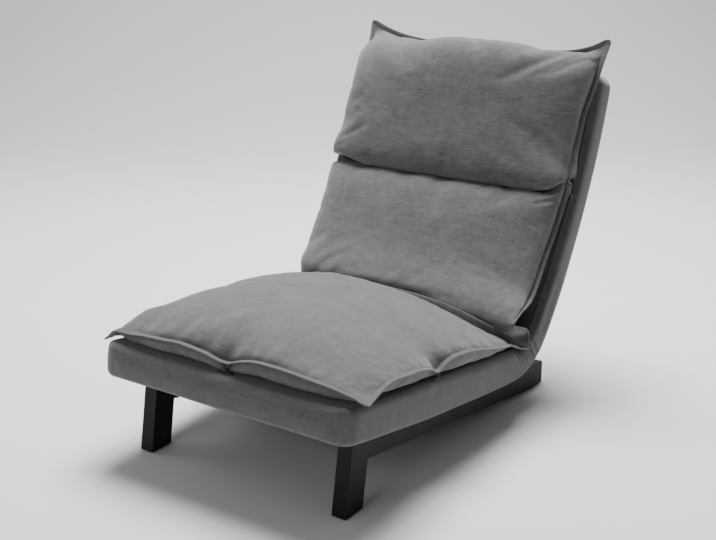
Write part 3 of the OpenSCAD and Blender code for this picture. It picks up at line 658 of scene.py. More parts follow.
def pillow(name, place, half_x, rim, lines, sections, first, last, nx=72, ny=64, shift=0.0, taper=((110, 2, 1.15), (110, 2, 1.15)), full=(70.0, 70.0), settle=None, tweak=None, mat="cushion", seed=1, taper_low=None):
    """A stuffed cushion. place(w, h) gives Y, Z; half_x(b, side) is the half width to the seam; rim(b, side) the (w, h)
    of the side seams; lines are the (w, h) of the middle line of its front and its underside; first(a) and last(a)
    the (w, h) of the seams at its two ends. Returns the object and its rim, in order, with what is needed for the flange."""
    A, Bv = spread(nx, 1.3), spread(ny, 1.15)
    b = np.broadcast_to(Bv[None, :], (nx + 1, ny + 1))
    a = np.broadcast_to(A[:, None], (nx + 1, ny + 1))
    lft = a < 0
    hx = np.where(lft, half_x(Bv, -1)[None, :], half_x(Bv, 1)[None, :])
    R = np.where(lft[..., None], rim(Bv, -1)[None, :, :], rim(Bv, 1)[None, :, :])
    calm = []
    for side in (-1, 1):
        r = rim(Bv, side)
        m = r.copy()
        if settle:
            for i in range(len(Bv)):
                g = np.exp(-((Bv - Bv[i]) / settle[0]) ** 2)
                m[i] = (r * g[:, None]).sum(0) / g.sum()
            keep = np.exp(-((1 - np.abs(Bv)) / 0.16) ** 2)[:, None]
            m = m * (1 - keep) + r * keep
        calm.append(m)
    base = np.where(lft[..., None], calm[0][None], calm[1][None])
    out = []
    half = float(np.mean(hx))
    local = np.exp(-((1 - np.abs(a)) * half / (settle[1] if settle else 30.0)) ** 2)
    for k, (line, sec) in enumerate(zip(lines, sections)):
        centre = line(Bv)
        dx, S = sec(a)
        length = np.linalg.norm(np.diff(centre, axis=0), axis=1).sum()
        rb0 = (1 + b) / 2 * length
        rb1 = (1 - b) / 2 * length
        for rb, (far, p, q) in zip((rb0, rb1), taper_low if k and taper_low else taper):
            e = np.exp(-(rb / far) ** 2)
            p = np.where(lft, *p) if isinstance(p, tuple) else p
            S = S * (1 - e) + e * (1 - np.abs(a) ** p) ** q
        wh = base + (centre[None] - base) * S[..., None] + (R - base) * local[..., None]
        for rb, want, col in ((rb0, first(A), 0), (rb1, last(A), -1)):
            now = wh[:, col, :]
            wh = wh + (want - now)[:, None, :] * np.exp(-(rb / 34.0) ** 2)[..., None]
        c = smooth(rb0 / full[0]) * smooth(rb1 / full[1])
        xp = hx + np.where(dx > 0, dx, dx * hx / half)
        x = np.sign(a) * ((1 - c) * np.abs(a) * hx + c * xp)
        if tweak:
            x, wh = tweak(k, a, b, x, wh, rb0, rb1)
        out.append(world(x + shift, place(wh[..., 0], wh[..., 1])))
    top, low = out
    n1, n2 = nx + 1, ny + 1
    idx_top = np.arange(n1 * n2).reshape(n1, n2)
    idx_low = np.full((n1, n2), -1)
    border = np.zeros((n1, n2), bool)
    border[0] = border[-1] = True
    border[:, 0] = border[:, -1] = True
    idx_low[border] = idx_top[border]
    inner = ~border
    idx_low[inner] = n1 * n2 + np.arange(inner.sum())
    verts = np.concatenate([top.reshape(-1, 3), low[inner]])
    faces = []
    for i in range(nx):
        for j in range(ny):
            faces.append((idx_top[i, j], idx_top[i + 1, j], idx_top[i + 1, j + 1], idx_top[i, j + 1]))
            faces.append((idx_low[i, j], idx_low[i, j + 1], idx_low[i + 1, j + 1], idx_low[i + 1, j]))
    # the cloth's own coordinates, in metres
    wid = np.cumsum(np.concatenate([np.zeros((1, n2)), np.linalg.norm(np.diff(top, axis=0), axis=2)]), 0)
    wid -= wid[n1 // 2][None]
    lng = np.cumsum(np.concatenate([np.zeros((n1, 1)), np.linalg.norm(np.diff(top, axis=1), axis=2)], 1), 1)
    mid = lng[n1 // 2][None, :] * np.ones((n1, 1))
    uvt = np.stack([wid + seed * 1.7, mid + seed * 2.3], -1)
    uv = np.concatenate([uvt.reshape(-1, 2), uvt[inner] + 3.1])
    o = make(name, verts, faces, mat, uv)
    loop = [(i, 0) for i in range(nx)] + [(nx, j) for j in range(ny)] + [(i, ny) for i in range(nx, 0, -1)] + [(0, j) for j in range(ny, 0, -1)]
    group = o.vertex_groups.new(name="pin")
    group.add([int(idx_top[i, j]) for i, j in loop], 1.0, "REPLACE")
    info = {"loop": loop, "rim": top, "A": A, "B": Bv, "idx": idx_top, "nx": nx, "ny": ny, "start": verts.copy(), "shift": shift}
    return o, info


def flange(name, info, outer, thick=3.4, mat="flange", seed=1):
    """The double ply of cloth that stands out round a cushion beyond its seam. outer(i, j) is its edge, in metres."""
    loop = info["loop"]
    n = len(loop)
    inn = np.array([info["rim"][i, j] for i, j in loop])
    out = np.array([outer(info["A"][i], info["B"][j], i, j) for i, j in loop])
    out[:, 0] += info["shift"] / 1000
    tang = np.roll(inn, -1, 0) - np.roll(inn, 1, 0)
    side = out - inn
    nrm = np.cross(tang, side)
    nrm /= np.linalg.norm(nrm, axis=1)[:, None] + 1e-12
    for _ in range(3):
        nrm = (np.roll(nrm, 1, 0) + 2 * nrm + np.roll(nrm, -1, 0)) / 4
    nrm /= np.linalg.norm(nrm, axis=1)[:, None]
    if (nrm * np.array([0, -0.35, 1])).sum() < 0:
        nrm = -nrm
    dist = np.concatenate([[0], np.cumsum(np.linalg.norm(np.diff(out, axis=0), axis=1))])
    ripple = 0.0009 * wave(out, 17.0, seed) + 0.0005 * wave(out, 60.0, seed + 3)
    t = thick / 2000
    # cross-section, from the root on the upper side round the edge to the root below: share of the width, height
    cs = [(-0.35, 0.5), (-0.05, 0.55), (0.14, 0.5), (0.3, 0.85), (0.5, 1.0), (0.8, 1.0), (0.93, 0.86), (0.985, 0.5), (1.0, 0.0),
          (0.985, -0.5), (0.93, -0.86), (0.8, -1.0), (0.5, -1.0), (0.3, -0.85), (0.14, -0.5), (-0.05, -0.55), (-0.35, -0.5)]
    verts = np.array([[inn[k] + side[k] * s + nrm[k] * (h * t + ripple[k] * max(s, 0)) for s, h in cs] for k in range(n)])
    m = len(cs)
    faces = [(k * m + c, ((k + 1) % n) * m + c, ((k + 1) % n) * m + c + 1, k * m + c + 1) for k in range(n) for c in range(m - 1)]
    faces += [(k * m + m - 1, ((k + 1) % n) * m + m - 1, ((k + 1) % n) * m, k * m) for k in range(n)]
    uv = np.array([[(0.012 * s + (0.03 if h < 0 else 0), dist[k]) for s, h in cs] for k in range(n)])
    o = make(name, verts, faces, mat, uv)
    return subdivide(o), {"in": inn, "side": side, "nrm": nrm, "ripple": ripple, "t": t}


def stitches(name, fl, at=0.22, pitch=0.0048, length=0.0034, r=0.00042):
    """Thread lying along the flange just outside its seam, on both faces."""
    parts = []
    p = fl["in"] + fl["side"] * at + fl["nrm"] * (fl["ripple"] * at)[:, None]
    closed = np.concatenate([p, p[:1]])
    nn = np.concatenate([fl["nrm"], fl["nrm"][:1]])
    d = np.concatenate([[0], np.cumsum(np.linalg.norm(np.diff(closed, axis=0), axis=1))])
    count = int(d[-1] / pitch)
    mids = (np.arange(count) + 0.5) * d[-1] / count
    for face in (1, -1):
        for c in mids:
            q = np.array([c - length / 2, c - length / 4, c, c + length / 4, c + length / 2])
            pos = np.stack([np.interp(q, d, closed[:, i]) for i in range(3)], -1)
            nv = np.stack([np.interp(q, d, nn[:, i]) for i in range(3)], -1)
            lift = np.array([0.25, 0.85, 1.0, 0.85, 0.25]) * 0.00055
            pos = pos + face * nv * (fl["t"] * 0.62 + lift)[:, None]
            v, f = tube(pos, np.array([0.5, 1, 1, 1, 0.5]) * r, 4)
            parts.append((v, f))
    return make(name, *gather(parts), "thread")


FW = 12.0                                           # width of the flange, mm
LOW = [(0, 0), (-1, 0.2), (-1.5, 0.42), (-3.5, 0.66), (-9, 0.86), (-20, 0.97), (-44, 1.0), (-110, 1.0)]
PLUMP = [(0, 0), (5, 0.14), (8.5, 0.31), (9.5, 0.47), (6, 0.62), (-4, 0.73), (-22, 0.82), (-50, 0.885), (-90, 0.937), (-140, 0.972), (-210, 0.994)]
TUCKED = [(0, 0), (-1, 0.12), (-4, 0.34), (-11, 0.62), (-22, 0.85), (-38, 0.96), (-70, 1.0), (-120, 1.0)]
ROUND = [(0, 0), (1.5, 0.12), (1.5, 0.25), (-1.5, 0.37), (-8, 0.48), (-20, 0.585), (-38, 0.68), (-64, 0.77), (-100, 0.85), (-148, 0.92), (-205, 0.972)]
LENS = [(0, 0), (-2, 0.06), (-5, 0.14), (-11, 0.24), (-22, 0.35), (-41, 0.49), (-68, 0.63), (-101, 0.745), (-140, 0.845), (-185, 0.925), (-240, 0.983)]

# ---- seat cushion: (X, h) of its front edge, and (u, h, X) of its side edges
seat_front_h = [(-325, -3.0), (-295, 17.8), (-261, 19.7), (-207, 26.0), (-160, 29.0), (-115, 31.5), (-75, 29.0), (-50, 26.5), (-24, 21.5), (-4, 17.2), (11, 16.5), (25, 22.5), (49, 30.0), (72, 34.3), (96, 35.8), (130, 35.5), (166, 33.5), (211, 30.1), (256, 25.8), (278, 21.8), (300, 17.5), (315, 11.6), (325, 9.0)]
seat_side = [(-30, 8, 326), (-14, 12, 322), (7, 20, 320), (28, 28, 319), (43, 33, 318), (76, 37, 317), (110, 36.5, 316), (145, 36.5, 315), (182, 33, 313), (206, 28, 311), (228, 19.5, 308), (240, 15, 306),
             (252, 21, 307), (270, 33, 310), (292, 39.5, 313), (334, 42.5, 316), (376, 39.5, 317), (420, 34, 318), (465, 28.5, 319), (505, 25.5, 319), (526, 25, 319), (541, 21.5, 319), (556, 15, 320), (576, 9, 321), (598, 6, 323)]
SU0, SU1 = -30.0, 598.0


seat_left = [(-30, -2, 319), (-14, 0, 318), (7, 3, 318), (28, 7, 318), (43, 9.5, 318), (76, 14, 317), (110, 19, 316), (145, 23, 315), (182, 24, 313), (206, 22, 311), (228, 18, 308), (240, 15, 306),
             (252, 18, 307), (270, 24, 310), (292, 31, 313), (334, 36, 316), (376, 36, 317), (420, 32, 318), (465, 28.5, 319), (505, 25.5, 319), (526, 25, 319), (541, 21.5, 319), (556, 15, 320), (576, 9, 321), (598, 6, 323)]


def seat_edge(u, side=1):
    """Height and X of the side seams."""
    return table(u, seat_side if side > 0 else seat_left)


def seat_u(b):
    return SU0 + FW + (SU1 - SU0 - 2 * FW) * (b + 1) / 2


def stretch_u(u):
    return np.clip(287 + (u - 287) * (SU1 - SU0) / (SU1 - SU0 - 2 * FW), SU0, SU1)


def seat_rim(b, side):
    u = seat_u(b)
    return np.stack([u, seat_edge(stretch_u(u), side)[..., 0] + 1.5], -1)


def seat_half(b, side):
    return seat_edge(stretch_u(seat_u(b)), side)[..., 1] - FW


seat_top_line = [(-35, 31), (-33, 41), (-22, 56), (-2, 71), (30, 85), (84, 99), (158, 109), (264, 113), (366, 113), (440, 108), (485, 102.5), (508, 97), (522, 90.5), (531, 82)]
seat_low_line = [(-35, 31), (-40, 25), (-42, 17), (-40, 9), (-33, 3.2), (-18, 1.0), (60, 0.7), (280, 0.7), (500, 0.7), (540, 1.2), (568, 4), (578, 11), (574, 24), (556, 40), (540, 60), (531, 82)]


def seat_first(a):
    h = table(a * 325, seat_front_h) + 1.5
    u = -20.0 - 15.0 * (1 - np.abs(a) ** 6) + 4.0 * np.exp(-((a * 313 - 8) / 22) ** 2)
    return np.stack([u, h], -1)


seat_rear_right = [(0, 531, 82), (0.15, 530, 81), (0.4, 524, 76), (0.57, 517, 69.5), (0.73, 514, 58.5), (0.83, 520, 48), (0.9, 533, 38.5), (0.955, 555, 23), (1.0, 583, 9)]
seat_rear_left = [(0, 531, 82), (0.25, 531, 84), (0.45, 531, 83), (0.65, 532, 77), (0.8, 538, 62), (0.92, 553, 36), (1.0, 583, 9)]


def seat_last(a):
    a = np.asarray(a, float)
    return np.where((a < 0)[..., None], table(np.abs(a), seat_rear_left), table(np.abs(a), seat_rear_right))


LEAN = [(-60, 0), (-30, 0.5), (0, 3), (60, 8), (130, 12), (200, 13.5), (300, 13.5), (480, 13), (540, 12), (600, 10)]


def seat_tweak(k, a, b, x, wh, rb0, rb1):
    # the tacks pull small dimples into the cushion
    for xx, uu, r, d in ((8, -28, 22, 4), (304, 240, 22, 3)):
        r2 = ((x - xx) ** 2 + (wh[..., 0] - uu) ** 2) / r ** 2
        pull = np.exp(-r2) * (1 - (a ** 40)) * (1 - np.exp(-(np.minimum(rb0, rb1) / 8) ** 2))
        if k == 0:
            wh = wh - np.stack([0 * pull, d * pull], -1)
    if k == 0:
        # it is a little fuller on the left than on the right
        lean = table(wh[..., 0], LEAN) * -a * (1 - np.abs(a) ** 3) * 1.6 + 7 * np.exp(-((wh[..., 0] - 470) / 80) ** 2) * np.clip(-a, 0, 1) * (1 - np.abs(a) ** 3)
        wh = wh + np.stack([0 * lean, lean], -1)
        far = np.hypot(x - 306, wh[..., 0] - 241)
        rays = 1.5 * np.cos(11 * np.arctan2(x - 306, wh[..., 0] - 241)) * np.exp(-((far - 24) / 15) ** 2) * smooth((306 - x) / 12)
        wh = wh + np.stack([0 * rays, rays], -1)
        # and behind its front left corner
        fill = 17 * np.exp(-((wh[..., 0] - 14) / 44) ** 2) * np.exp(-((a + 0.85) / 0.14) ** 2)
        wh = wh + np.stack([0 * fill, fill], -1)
    return x, wh


seat, seat_info = pillow("seat_cushion_body", on_seat, seat_half, seat_rim, (even(seat_top_line), even(seat_low_line)), (section(LENS, 305), section(LOW, 305, 30)),
                         seat_first, seat_last, nx=78, ny=78, taper=((115, (3.1, 2), 1.0), (115, 2, 1.0)), settle=(0.2, 22.0), tweak=seat_tweak, seed=1, taper_low=((115, 6, 0.6), (115, 2, 1.0)))


def seat_outer(a, b, i, j):
    nx, ny = seat_info["nx"], seat_info["ny"]
    side_out = i in (0, nx)
    end_out = j in (0, ny)
    u = seat_u(b)
    if end_out and not side_out:
        f = (seat_first if j == 0 else seat_last)(np.array([a]))[0]
        x = a * seat_half(np.array([b]), 1)[0] * 1.012
        if j == 0:
            w, h = f[0] - FW, f[1] - 1.5
        else:
            lie = abs(a) ** 30
            w, h = f[0] + 5.0 + FW * 0.6 * lie, f[1] + 8.5 * (1 - lie) - 1.5 * lie
    else:
        e = seat_edge(np.array([stretch_u(u)]), a)[0]
        w, h = stretch_u(u), e[0]
        x = math.copysign(e[1], a)
        if end_out:
            x = math.copysign(327, a)
            w = SU0 - 2 if j == 0 else SU1 + 3
            h = e[0]
            if j == 0 and a < 0:
                x, w, h = -320, -41, -8
    return world(np.array(x), on_seat(w, h))


# ---- lumbar cushion: its lower part is folded under, in front of the bend
lumbar_side = [(-38, 4, 309), (-31, 22, 311), (-17, 33, 312), (-15, 50, 313), (-22, 72, 314), (-36, 104, 316), (-41, 124, 316), (-30, 121, 315), (0, 104, 312), (56, 74, 309), (116, 62, 306),
               (157, 58, 304), (215, 52, 304), (264, 51, 306), (325, 55, 311), (364, 57, 315)]
lumbar_left = [(-34, 3, 284), (-26, 12, 285), (-12, 26, 286), (6, 38, 289), (34, 49, 293), (70, 54, 299), (116, 56, 303), (157, 57, 306), (215, 55, 308), (264, 54, 311), (325, 56, 316), (350, 56, 318)]
lumbar_top_line = [(-34, 6), (-42, 22), (-50, 50), (-53, 82), (-44, 111), (-14, 126), (38, 125), (100, 119), (170, 116), (235, 114), (282, 110), (311, 102), (327, 90), (331, 77), (331, 64), (338, 54)]
lumbar_low_line = [(-34, 6), (-20, 1.0), (0, 0.8), (60, 0.7), (170, 0.7), (270, 0.7), (312, 3), (332, 14), (341, 32), (338, 54)]


def lumbar_edge(b, side):
    return path(lumbar_side if side > 0 else lumbar_left, (np.asarray(b) + 1) / 2)


def lumbar_fw(b, side):
    """The flange's width: it is creased narrow along the fold at the lower right."""
    t = (np.asarray(b) + 1) / 2
    return FW - (6.5 * smooth((0.47 - t) / 0.14) if side > 0 else 0 * t)


def lumbar_half(b, side):
    return lumbar_edge(b, side)[..., 2] - lumbar_fw(b, side)


def lumbar_rim(b, side):
    return lumbar_edge(b, side)[..., :2]


def lumbar_first(a):
    return np.stack([-38 + 4 * (1 - a * a), 4 + 2 * (1 - a * a)], -1)


def lumbar_last(a):
    return np.stack([350 - 12 * (1 - np.abs(a) ** 5) + 14 * smooth((a - 0.84) / 0.13), 56 - 2 * (1 - a * a)], -1)


def lumbar_tweak(k, a, b, x, wh, rb0, rb1):
    t = (b + 1) / 2
    if k == 1:
        # behind the fold at the lower right its underside is drawn in, so only the flange shows against the slab
        draw = smooth((0.62 - t) / 0.2) * smooth(t / 0.06) * np.clip(a, 0, 1) ** 3 * smooth((1 - np.abs(a)) * 300 / 9)
        x = x - 40 * draw
    else:
        # and its fold hangs lower there, over the end of the seat, and less at the left
        hang = (13 * smooth((a - 0.15) / 0.5) - 10 * smooth((-a - 0.25) / 0.45)) * (1 - np.abs(a) ** 12) * np.exp(-((t - 0.2) / 0.08) ** 2)
        wh = wh - np.stack([hang, 0 * hang], -1)
        rise = 32 * smooth((a - 0.85) / 0.12) * np.exp(-(rb1 / 62) ** 2) * smooth(rb1 / 8)
        wh = wh + np.stack([rise, 0 * rise], -1)
        q = np.clip(((302 - x) * 57 + (322 - wh[..., 0]) * 30) / (57 ** 2 + 30 ** 2), 0, 1)
        off = ((x - 302 + 57 * q) * 30 - (wh[..., 0] - 322 + 30 * q) * 57) / math.hypot(57, 30)
        near = np.exp(-(np.hypot(x - 302 + 57 * q, wh[..., 0] - 322 + 30 * q) / 16) ** 2) * (1 - q ** 3) * smooth((wh[..., 1] - 40) / 20)
        dent = near * (5.0 * np.exp(-(off / 4.2) ** 2) - 1.8 * np.exp(-((np.abs(off) - 8) / 5) ** 2))
        wh = wh - np.stack([0 * dent, dent], -1)
    return x, wh


lumbar, lumbar_info = pillow("lumbar_cushion_body", on_back, lumbar_half, lumbar_rim, (even(lumbar_top_line), even(lumbar_low_line)), (sides(section(PLUMP, 296), section(ROUND, 296)), section(TUCKED, 296, 50)),
                             lumbar_first, lumbar_last, nx=74, ny=76, taper=((46, 2, 0.75), (34, 12, 0.4)), full=(70.0, 45.0), tweak=lumbar_tweak, seed=2)


def lumbar_outer(a, b, i, j):
    nx, ny = lumbar_info["nx"], lumbar_info["ny"]
    side_out, end_out = i in (0, nx), j in (0, ny)
    e = lumbar_edge(np.array([b]), a)[0]
    w, h = e[0], e[1]
    x = a * (e[2] - FW)
    if end_out and not side_out:
        f = (lumbar_first if j == 0 else lumbar_last)(np.array([a]))[0]
        w, h = f[0] + (-FW * 0.5 if j == 0 else FW * 0.6), f[1] + (-2 if j == 0 else -3)
    elif side_out:
        x = math.copysign(e[2], a)
        if end_out:
            w = w + (-4 if j == 0 else 8)
    return world(np.array(x), on_back(w, h))


# ---- head cushion
head_side = [(381, 55, 318), (404, 50, 312), (427, 49, 309), (450, 46, 306), (502, 43, 304), (548, 38, 303.5), (590, 29, 305), (627, 22, 308), (659, 20, 311.5), (689, 17, 314.5), (709, 13, 316.5), (729, 8, 318)]
head_left = [(381, 58, 324), (404, 56, 320), (427, 55, 317), (450, 53, 317), (502, 50, 315), (548, 45, 312.5), (590, 38, 311.5), (627, 30, 313), (659, 24, 317), (689, 18, 322), (709, 13, 325), (733, 8, 328)]
head_top_line = [(362, 55), (342, 57), (329, 67), (325, 81), (331, 95), (351, 105.5), (390, 111), (440, 114), (510, 115), (570, 115), (625, 112), (664, 105), (688, 93), (698, 76), (698, 58), (690, 41), (676, 28)]
head_low_line = [(362, 55), (360, 36), (366, 14), (384, 3), (420, 0.8), (520, 0.7), (600, 0.8), (640, 2), (664, 7), (677, 16), (676, 28)]


def head_edge(b, side):
    return path(head_side if side > 0 else head_left, (np.asarray(b) + 1) / 2)


def head_half(b, side):
    return head_edge(b, side)[..., 2] - FW


def head_rim(b, side):
    e = head_edge(b, side)[..., :2]
    t = (np.asarray(b) + 1) / 2
    e[..., 0] += FW * (1 - 2 * t)
    return e


def head_first(a):
    return np.stack([393 - 31 * (1 - np.abs(a) ** np.where(a < 0, 6.0, 7.0)), 55 + 2 * (1 - a * a)], -1)


def head_last(a):
    s, h = np.where(a < 0, 721, 717), np.where(a < 0, 8, 9)
    k = 1 - np.abs(a) ** np.where(a < 0, 3.4, 6.0)
    return np.stack([s + (676 - s) * k, h + (29 - h) * (1 - a * a)], -1)


def head_tweak(k, a, b, x, wh, rb0, rb1):
    if k == 0:
        # the upper edge sinks a little on either side of the middle, and rises again into the ears
        dip = (1.3 * np.exp(-((a + 0.45) / 0.2) ** 2) + 0.5 * np.exp(-((a - 0.6) / 0.17) ** 2)) * np.exp(-(rb1 / 110) ** 2) * smooth(rb1 / 20)
        wh = wh - np.stack([10 * dip, 2 * dip], -1)
    # its lower left corner is the fullest
    swell = np.exp(-((wh[..., 0] - 385) / 45) ** 2) * np.clip(-a, 0, 1) ** 4 * smooth(rb0 / 30)
    x = x - 7 * swell * (1 - a ** 30)
    return x, wh


head, head_info = pillow("head_cushion_body", on_back, head_half, head_rim, (even(head_top_line), even(head_low_line)), (sides(section(PLUMP, 298), section(ROUND, 298)), section(TUCKED, 298, 40)),
                         head_first, head_last, nx=74, ny=72, taper=((85, (8, 15), 0.42), (112, 1.8, 1.0)), full=(45.0, 150.0), tweak=head_tweak, seed=3)


def head_outer(a, b, i, j):
    nx, ny = head_info["nx"], head_info["ny"]
    side_out, end_out = i in (0, nx), j in (0, ny)
    t = (b + 1) / 2
    e = head_edge(np.array([b]), a)[0]
    w, h = e[0] + FW * (1 - 2 * t), e[1]
    x = a * (e[2] - FW)
    if end_out and not side_out:
        f = (head_first if j == 0 else head_last)(np.array([a]))[0]
        w, h = f[0] + (-FW if j == 0 else FW), f[1]
    elif side_out:
        x = math.copysign(e[2], a)
        if end_out:
            w = e[0]
    return world(np.array(x), on_back(w, h))


cushions = [(seat, seat_info, seat_outer, on_seat), (lumbar, lumbar_info, lumbar_outer, on_back), (head, head_info, head_outer, on_back)]


SLAB_S = np.linspace(-60, L2 + L3, 900)
SLAB_LINE = on_back(SLAB_S, 0.0)
SLAB_TAN = np.gradient(SLAB_LINE, axis=0)
SLAB_TAN /= np.linalg.norm(SLAB_TAN, axis=1)[:, None]


def read_back(co):
    """s and h of points in metres, with the directions in which each grows."""
    yz = np.stack([co[:, 1] * 1000 + YS, co[:, 2] * 1000], -1)
    k = np.array([np.argmin(((SLAB_LINE - q) ** 2).sum(1)) for q in yz])
    tan = SLAB_TAN[k]
    normal = np.stack([-tan[:, 1], tan[:, 0]], -1)
    d = yz - SLAB_LINE[k]
    return SLAB_S[k] + (d * tan).sum(1), (d * normal).sum(1), tan, normal


def lift_off(co, place, least=0.6):
    """Moves points that have sunk into the slab's face back out of it, by the shortest way."""
    if place is on_seat:
        yz = np.stack([co[:, 1] * 1000 + YS, co[:, 2] * 1000], -1)
        n = np.array([ST, CT])
        h = (yz - B(0.0, T)) @ n
        normal = np.broadcast_to(n, yz.shape)
    else:
        s, h, tan, normal = read_back(co)
    up = np.where((h < least) & (np.abs(co[:, 0]) < 0.298), least - h, 0.0)
    co = co.copy()
    co[:, 1] += up * normal[:, 0] / 1000
    co[:, 2] += up * normal[:, 1] / 1000
    return co


def crease_s(x):
    """Where the head cushion meets the lumbar cushion: level, and rising at the left end."""
    return 331.5 + 20 * np.clip((-x - 205) / 85, 0, 1) ** 1.3 + 34 * np.clip((x - 262) / 38, 0, 1) ** 0.95


def press(co, name):
    """The two back cushions press flat against each other along their crease, and neither goes into the other."""
    s, h, tan, normal = read_back(co)
    line = crease_s(co[:, 0] * 1000)
    near = (h > 57) & (h < 112)
    if name == "head":
        move = np.where(near & (s < line + 0.35), line + 0.35 - s, 0.0)
    else:
        move = np.where(near & (s > line - 0.35) & (s < 360), line - 0.35 - s, 0.0)
    co = co.copy()
    co[:, 1] += move * tan[:, 0] / 1000
    co[:, 2] += move * tan[:, 1] / 1000
    return co


FOLD_RIGHT = [(0, 604), (8, 591), (14, 578), (22, 561), (30, 547), (38, 536), (48, 527), (57, 523.5), (70, 525), (84, 532), (96, 541), (108, 549)]
FOLD = [(0, 604), (8, 593), (18, 583), (28, 571), (38, 559), (46, 550), (57, 543.5), (70, 541), (84, 541), (96, 543.5), (108, 549)]


def press_fold(co, name):
    """Keeps the seat cushion's rear in front of the lumbar cushion's fold, and the fold behind it."""
    yz = np.stack([co[:, 1] * 1000 + YS, co[:, 2] * 1000], -1) - B(0.0, T)
    u, h = yz @ np.array([CT, -ST]), yz @ np.array([ST, CT])
    right = smooth((co[:, 0] * 1000 - 60) / 110)
    line = table(np.clip(h, 0, 108), FOLD) * (1 - right) + table(np.clip(h, 0, 108), FOLD_RIGHT) * right
    near = (h > 4) & (h < 108) & (u > 470) & (u < 640)
    move = np.where(near & (u > line - 0.35), line - 0.35 - u, 0.0) if name == "seat" else np.where(near & (u < line + 0.35), line + 0.35 - u, 0.0)
    move = move * smooth((106 - h) / 22)
    # at the ends the seat cushion's corner runs on beside the fold
    move = move * (1 - smooth((np.abs(co[:, 0]) * 1000 - (270 if name == "seat" else 296)) / 14))
    co = co.copy()
    co[:, 1] += move * CT / 1000
    co[:, 2] -= move * ST / 1000
    return co


def run_smooth(g, axis, rounds):
    g = np.moveaxis(g, axis, 0).copy()
    for _ in range(rounds):
        m = g.copy()
        m[1:-1] = (g[:-2] + 2 * g[1:-1] + g[2:]) / 4
        g = m
    return np.moveaxis(g, 0, axis)


def resting(o, info, place, broad=0.05, fine=0.5, cap=0.007):
    """Takes the simulated cloth's folds over in full, and its even swelling hardly at all, so the cushion keeps its measured size."""
    me = o.data
    co = np.zeros(len(me.vertices) * 3)
    me.vertices.foreach_get("co", co)
    co = co.reshape(-1, 3)
    start = info["start"]
    move = co - start
    n1, n2 = info["nx"] + 1, info["ny"] + 1
    top = move[:n1 * n2].reshape(n1, n2, 3)
    inner = np.ones((n1, n2), bool)
    inner[0] = inner[-1] = False
    inner[:, 0] = inner[:, -1] = False
    low = np.zeros_like(top)
    low[inner] = move[n1 * n2:]
    from_side = (1 - np.abs(info["A"]))[:, None] + 0.002
    from_end = (1 - np.abs(info["B"]))[None, :] + 0.002
    share = (from_side / (from_side + from_end))[..., None]
    out = []
    for g, much in ((top, 1.0), (low, 0.6)):
        wide = run_smooth(g, 0, 70) * share + run_smooth(g, 1, 70) * (1 - share)
        m = broad * wide + fine * much * (g - wide)
        d = np.linalg.norm(m, axis=2)
        out.append(m * (cap * np.tanh(d / cap) / np.maximum(d, 1e-9))[..., None])
    return start + np.concatenate([out[0].reshape(-1, 3), out[1][inner]])


def settle_down(o, place, co):
    co = lift_off(co, place)
    if place is on_back:
        co = press(co, o.name.split("_")[0])
    if o.name[:4] in ("seat", "lumb"):
        co = press_fold(co, o.name.split("_")[0])
    o.data.vertices.foreach_set("co", co.ravel())
    o.data.update()


def simulate():
    for o, info, _, _ in cushions:
        m = o.modifiers.new("cloth", "CLOTH")
        s = m.settings
        s.quality = 6
        s.mass = 0.35
        s.tension_stiffness = 18
        s.compression_stiffness = 12
        s.shear_stiffness = 5
        s.bending_stiffness = 0.35
        s.tension_damping = 10
        s.compression_damping = 10
        s.shear_damping = 8
        s.air_damping = 2
        s.use_pressure = True
        s.uniform_pressure_force = 4.0
        s.shrink_min = -0.03
        s.vertex_group_mass = "pin"
        s.effector_weights.gravity = 0
        m.collision_settings.use_collision = False
        m.collision_settings.use_self_collision = False
        m.point_cache.frame_start = 1
        m.point_cache.frame_end = 20
    sc = bpy.context.scene
    sc.frame_start, sc.frame_end = 1, 20
    for f in range(1, 21):
        sc.frame_set(f)
    for o, info, _, _ in cushions:
        apply_all(o)
    sc.frame_set(1)


simulate()
for o, info, outer, place in cushions:
    settle_down(o, place, resting(o, info, place))
    subdivide(o)

flanges = {}
for (o, info, outer, place), nm in zip(cushions, ("seat", "lumbar", "head")):
    fo, fi = flange(nm + "_cushion_flange", info, outer, seed={"seat": 1, "lumbar": 2, "head": 3}[nm])
    so = stitches(nm + "_cushion_stitches", fi)
    flanges[nm] = (fo, so)


# ---- the thread ties that hold the cushions' flanges down to the slab's edge
def tack(feet, heads, waist, r=0.0009):
    """Strands from the slab up to the flange, drawn together half way and wound round."""
    waist = np.array(waist)
    parts = []
    for i, (a, b) in enumerate(zip(feet, heads)):
        w = waist + 0.0011 * np.array([math.sin(i * 2.4), math.cos(i * 1.7), 0.3 * math.sin(i * 3.1)])
        parts.append(tube(path([a, 0.4 * np.array(a) + 0.6 * w, w, 0.4 * np.array(b) + 0.6 * w, b], np.linspace(0, 1, 16)), r, 6))
    axis = np.mean(heads, 0) - np.mean(feet, 0)
    axis /= np.linalg.norm(axis)
    e1 = np.cross(axis, [0.3, 0.9, 0.2])
    e1 /= np.linalg.norm(e1)
    e2 = np.cross(axis, e1)
    turns = np.linspace(0, 3.2, 60)
    wrap = waist + 0.0028 * (np.cos(2 * math.pi * turns)[:, None] * e1 + np.sin(2 * math.pi * turns)[:, None] * e2) + (turns[:, None] / 3.2 - 0.5) * 0.0034 * axis
    parts.append(tube(wrap, r * 0.9, 6))
    return gather(parts)


def points(place, rows):
    return [world(np.array(float(x)), place(np.array(float(w)), np.array(float(h)))) for x, w, h in rows]


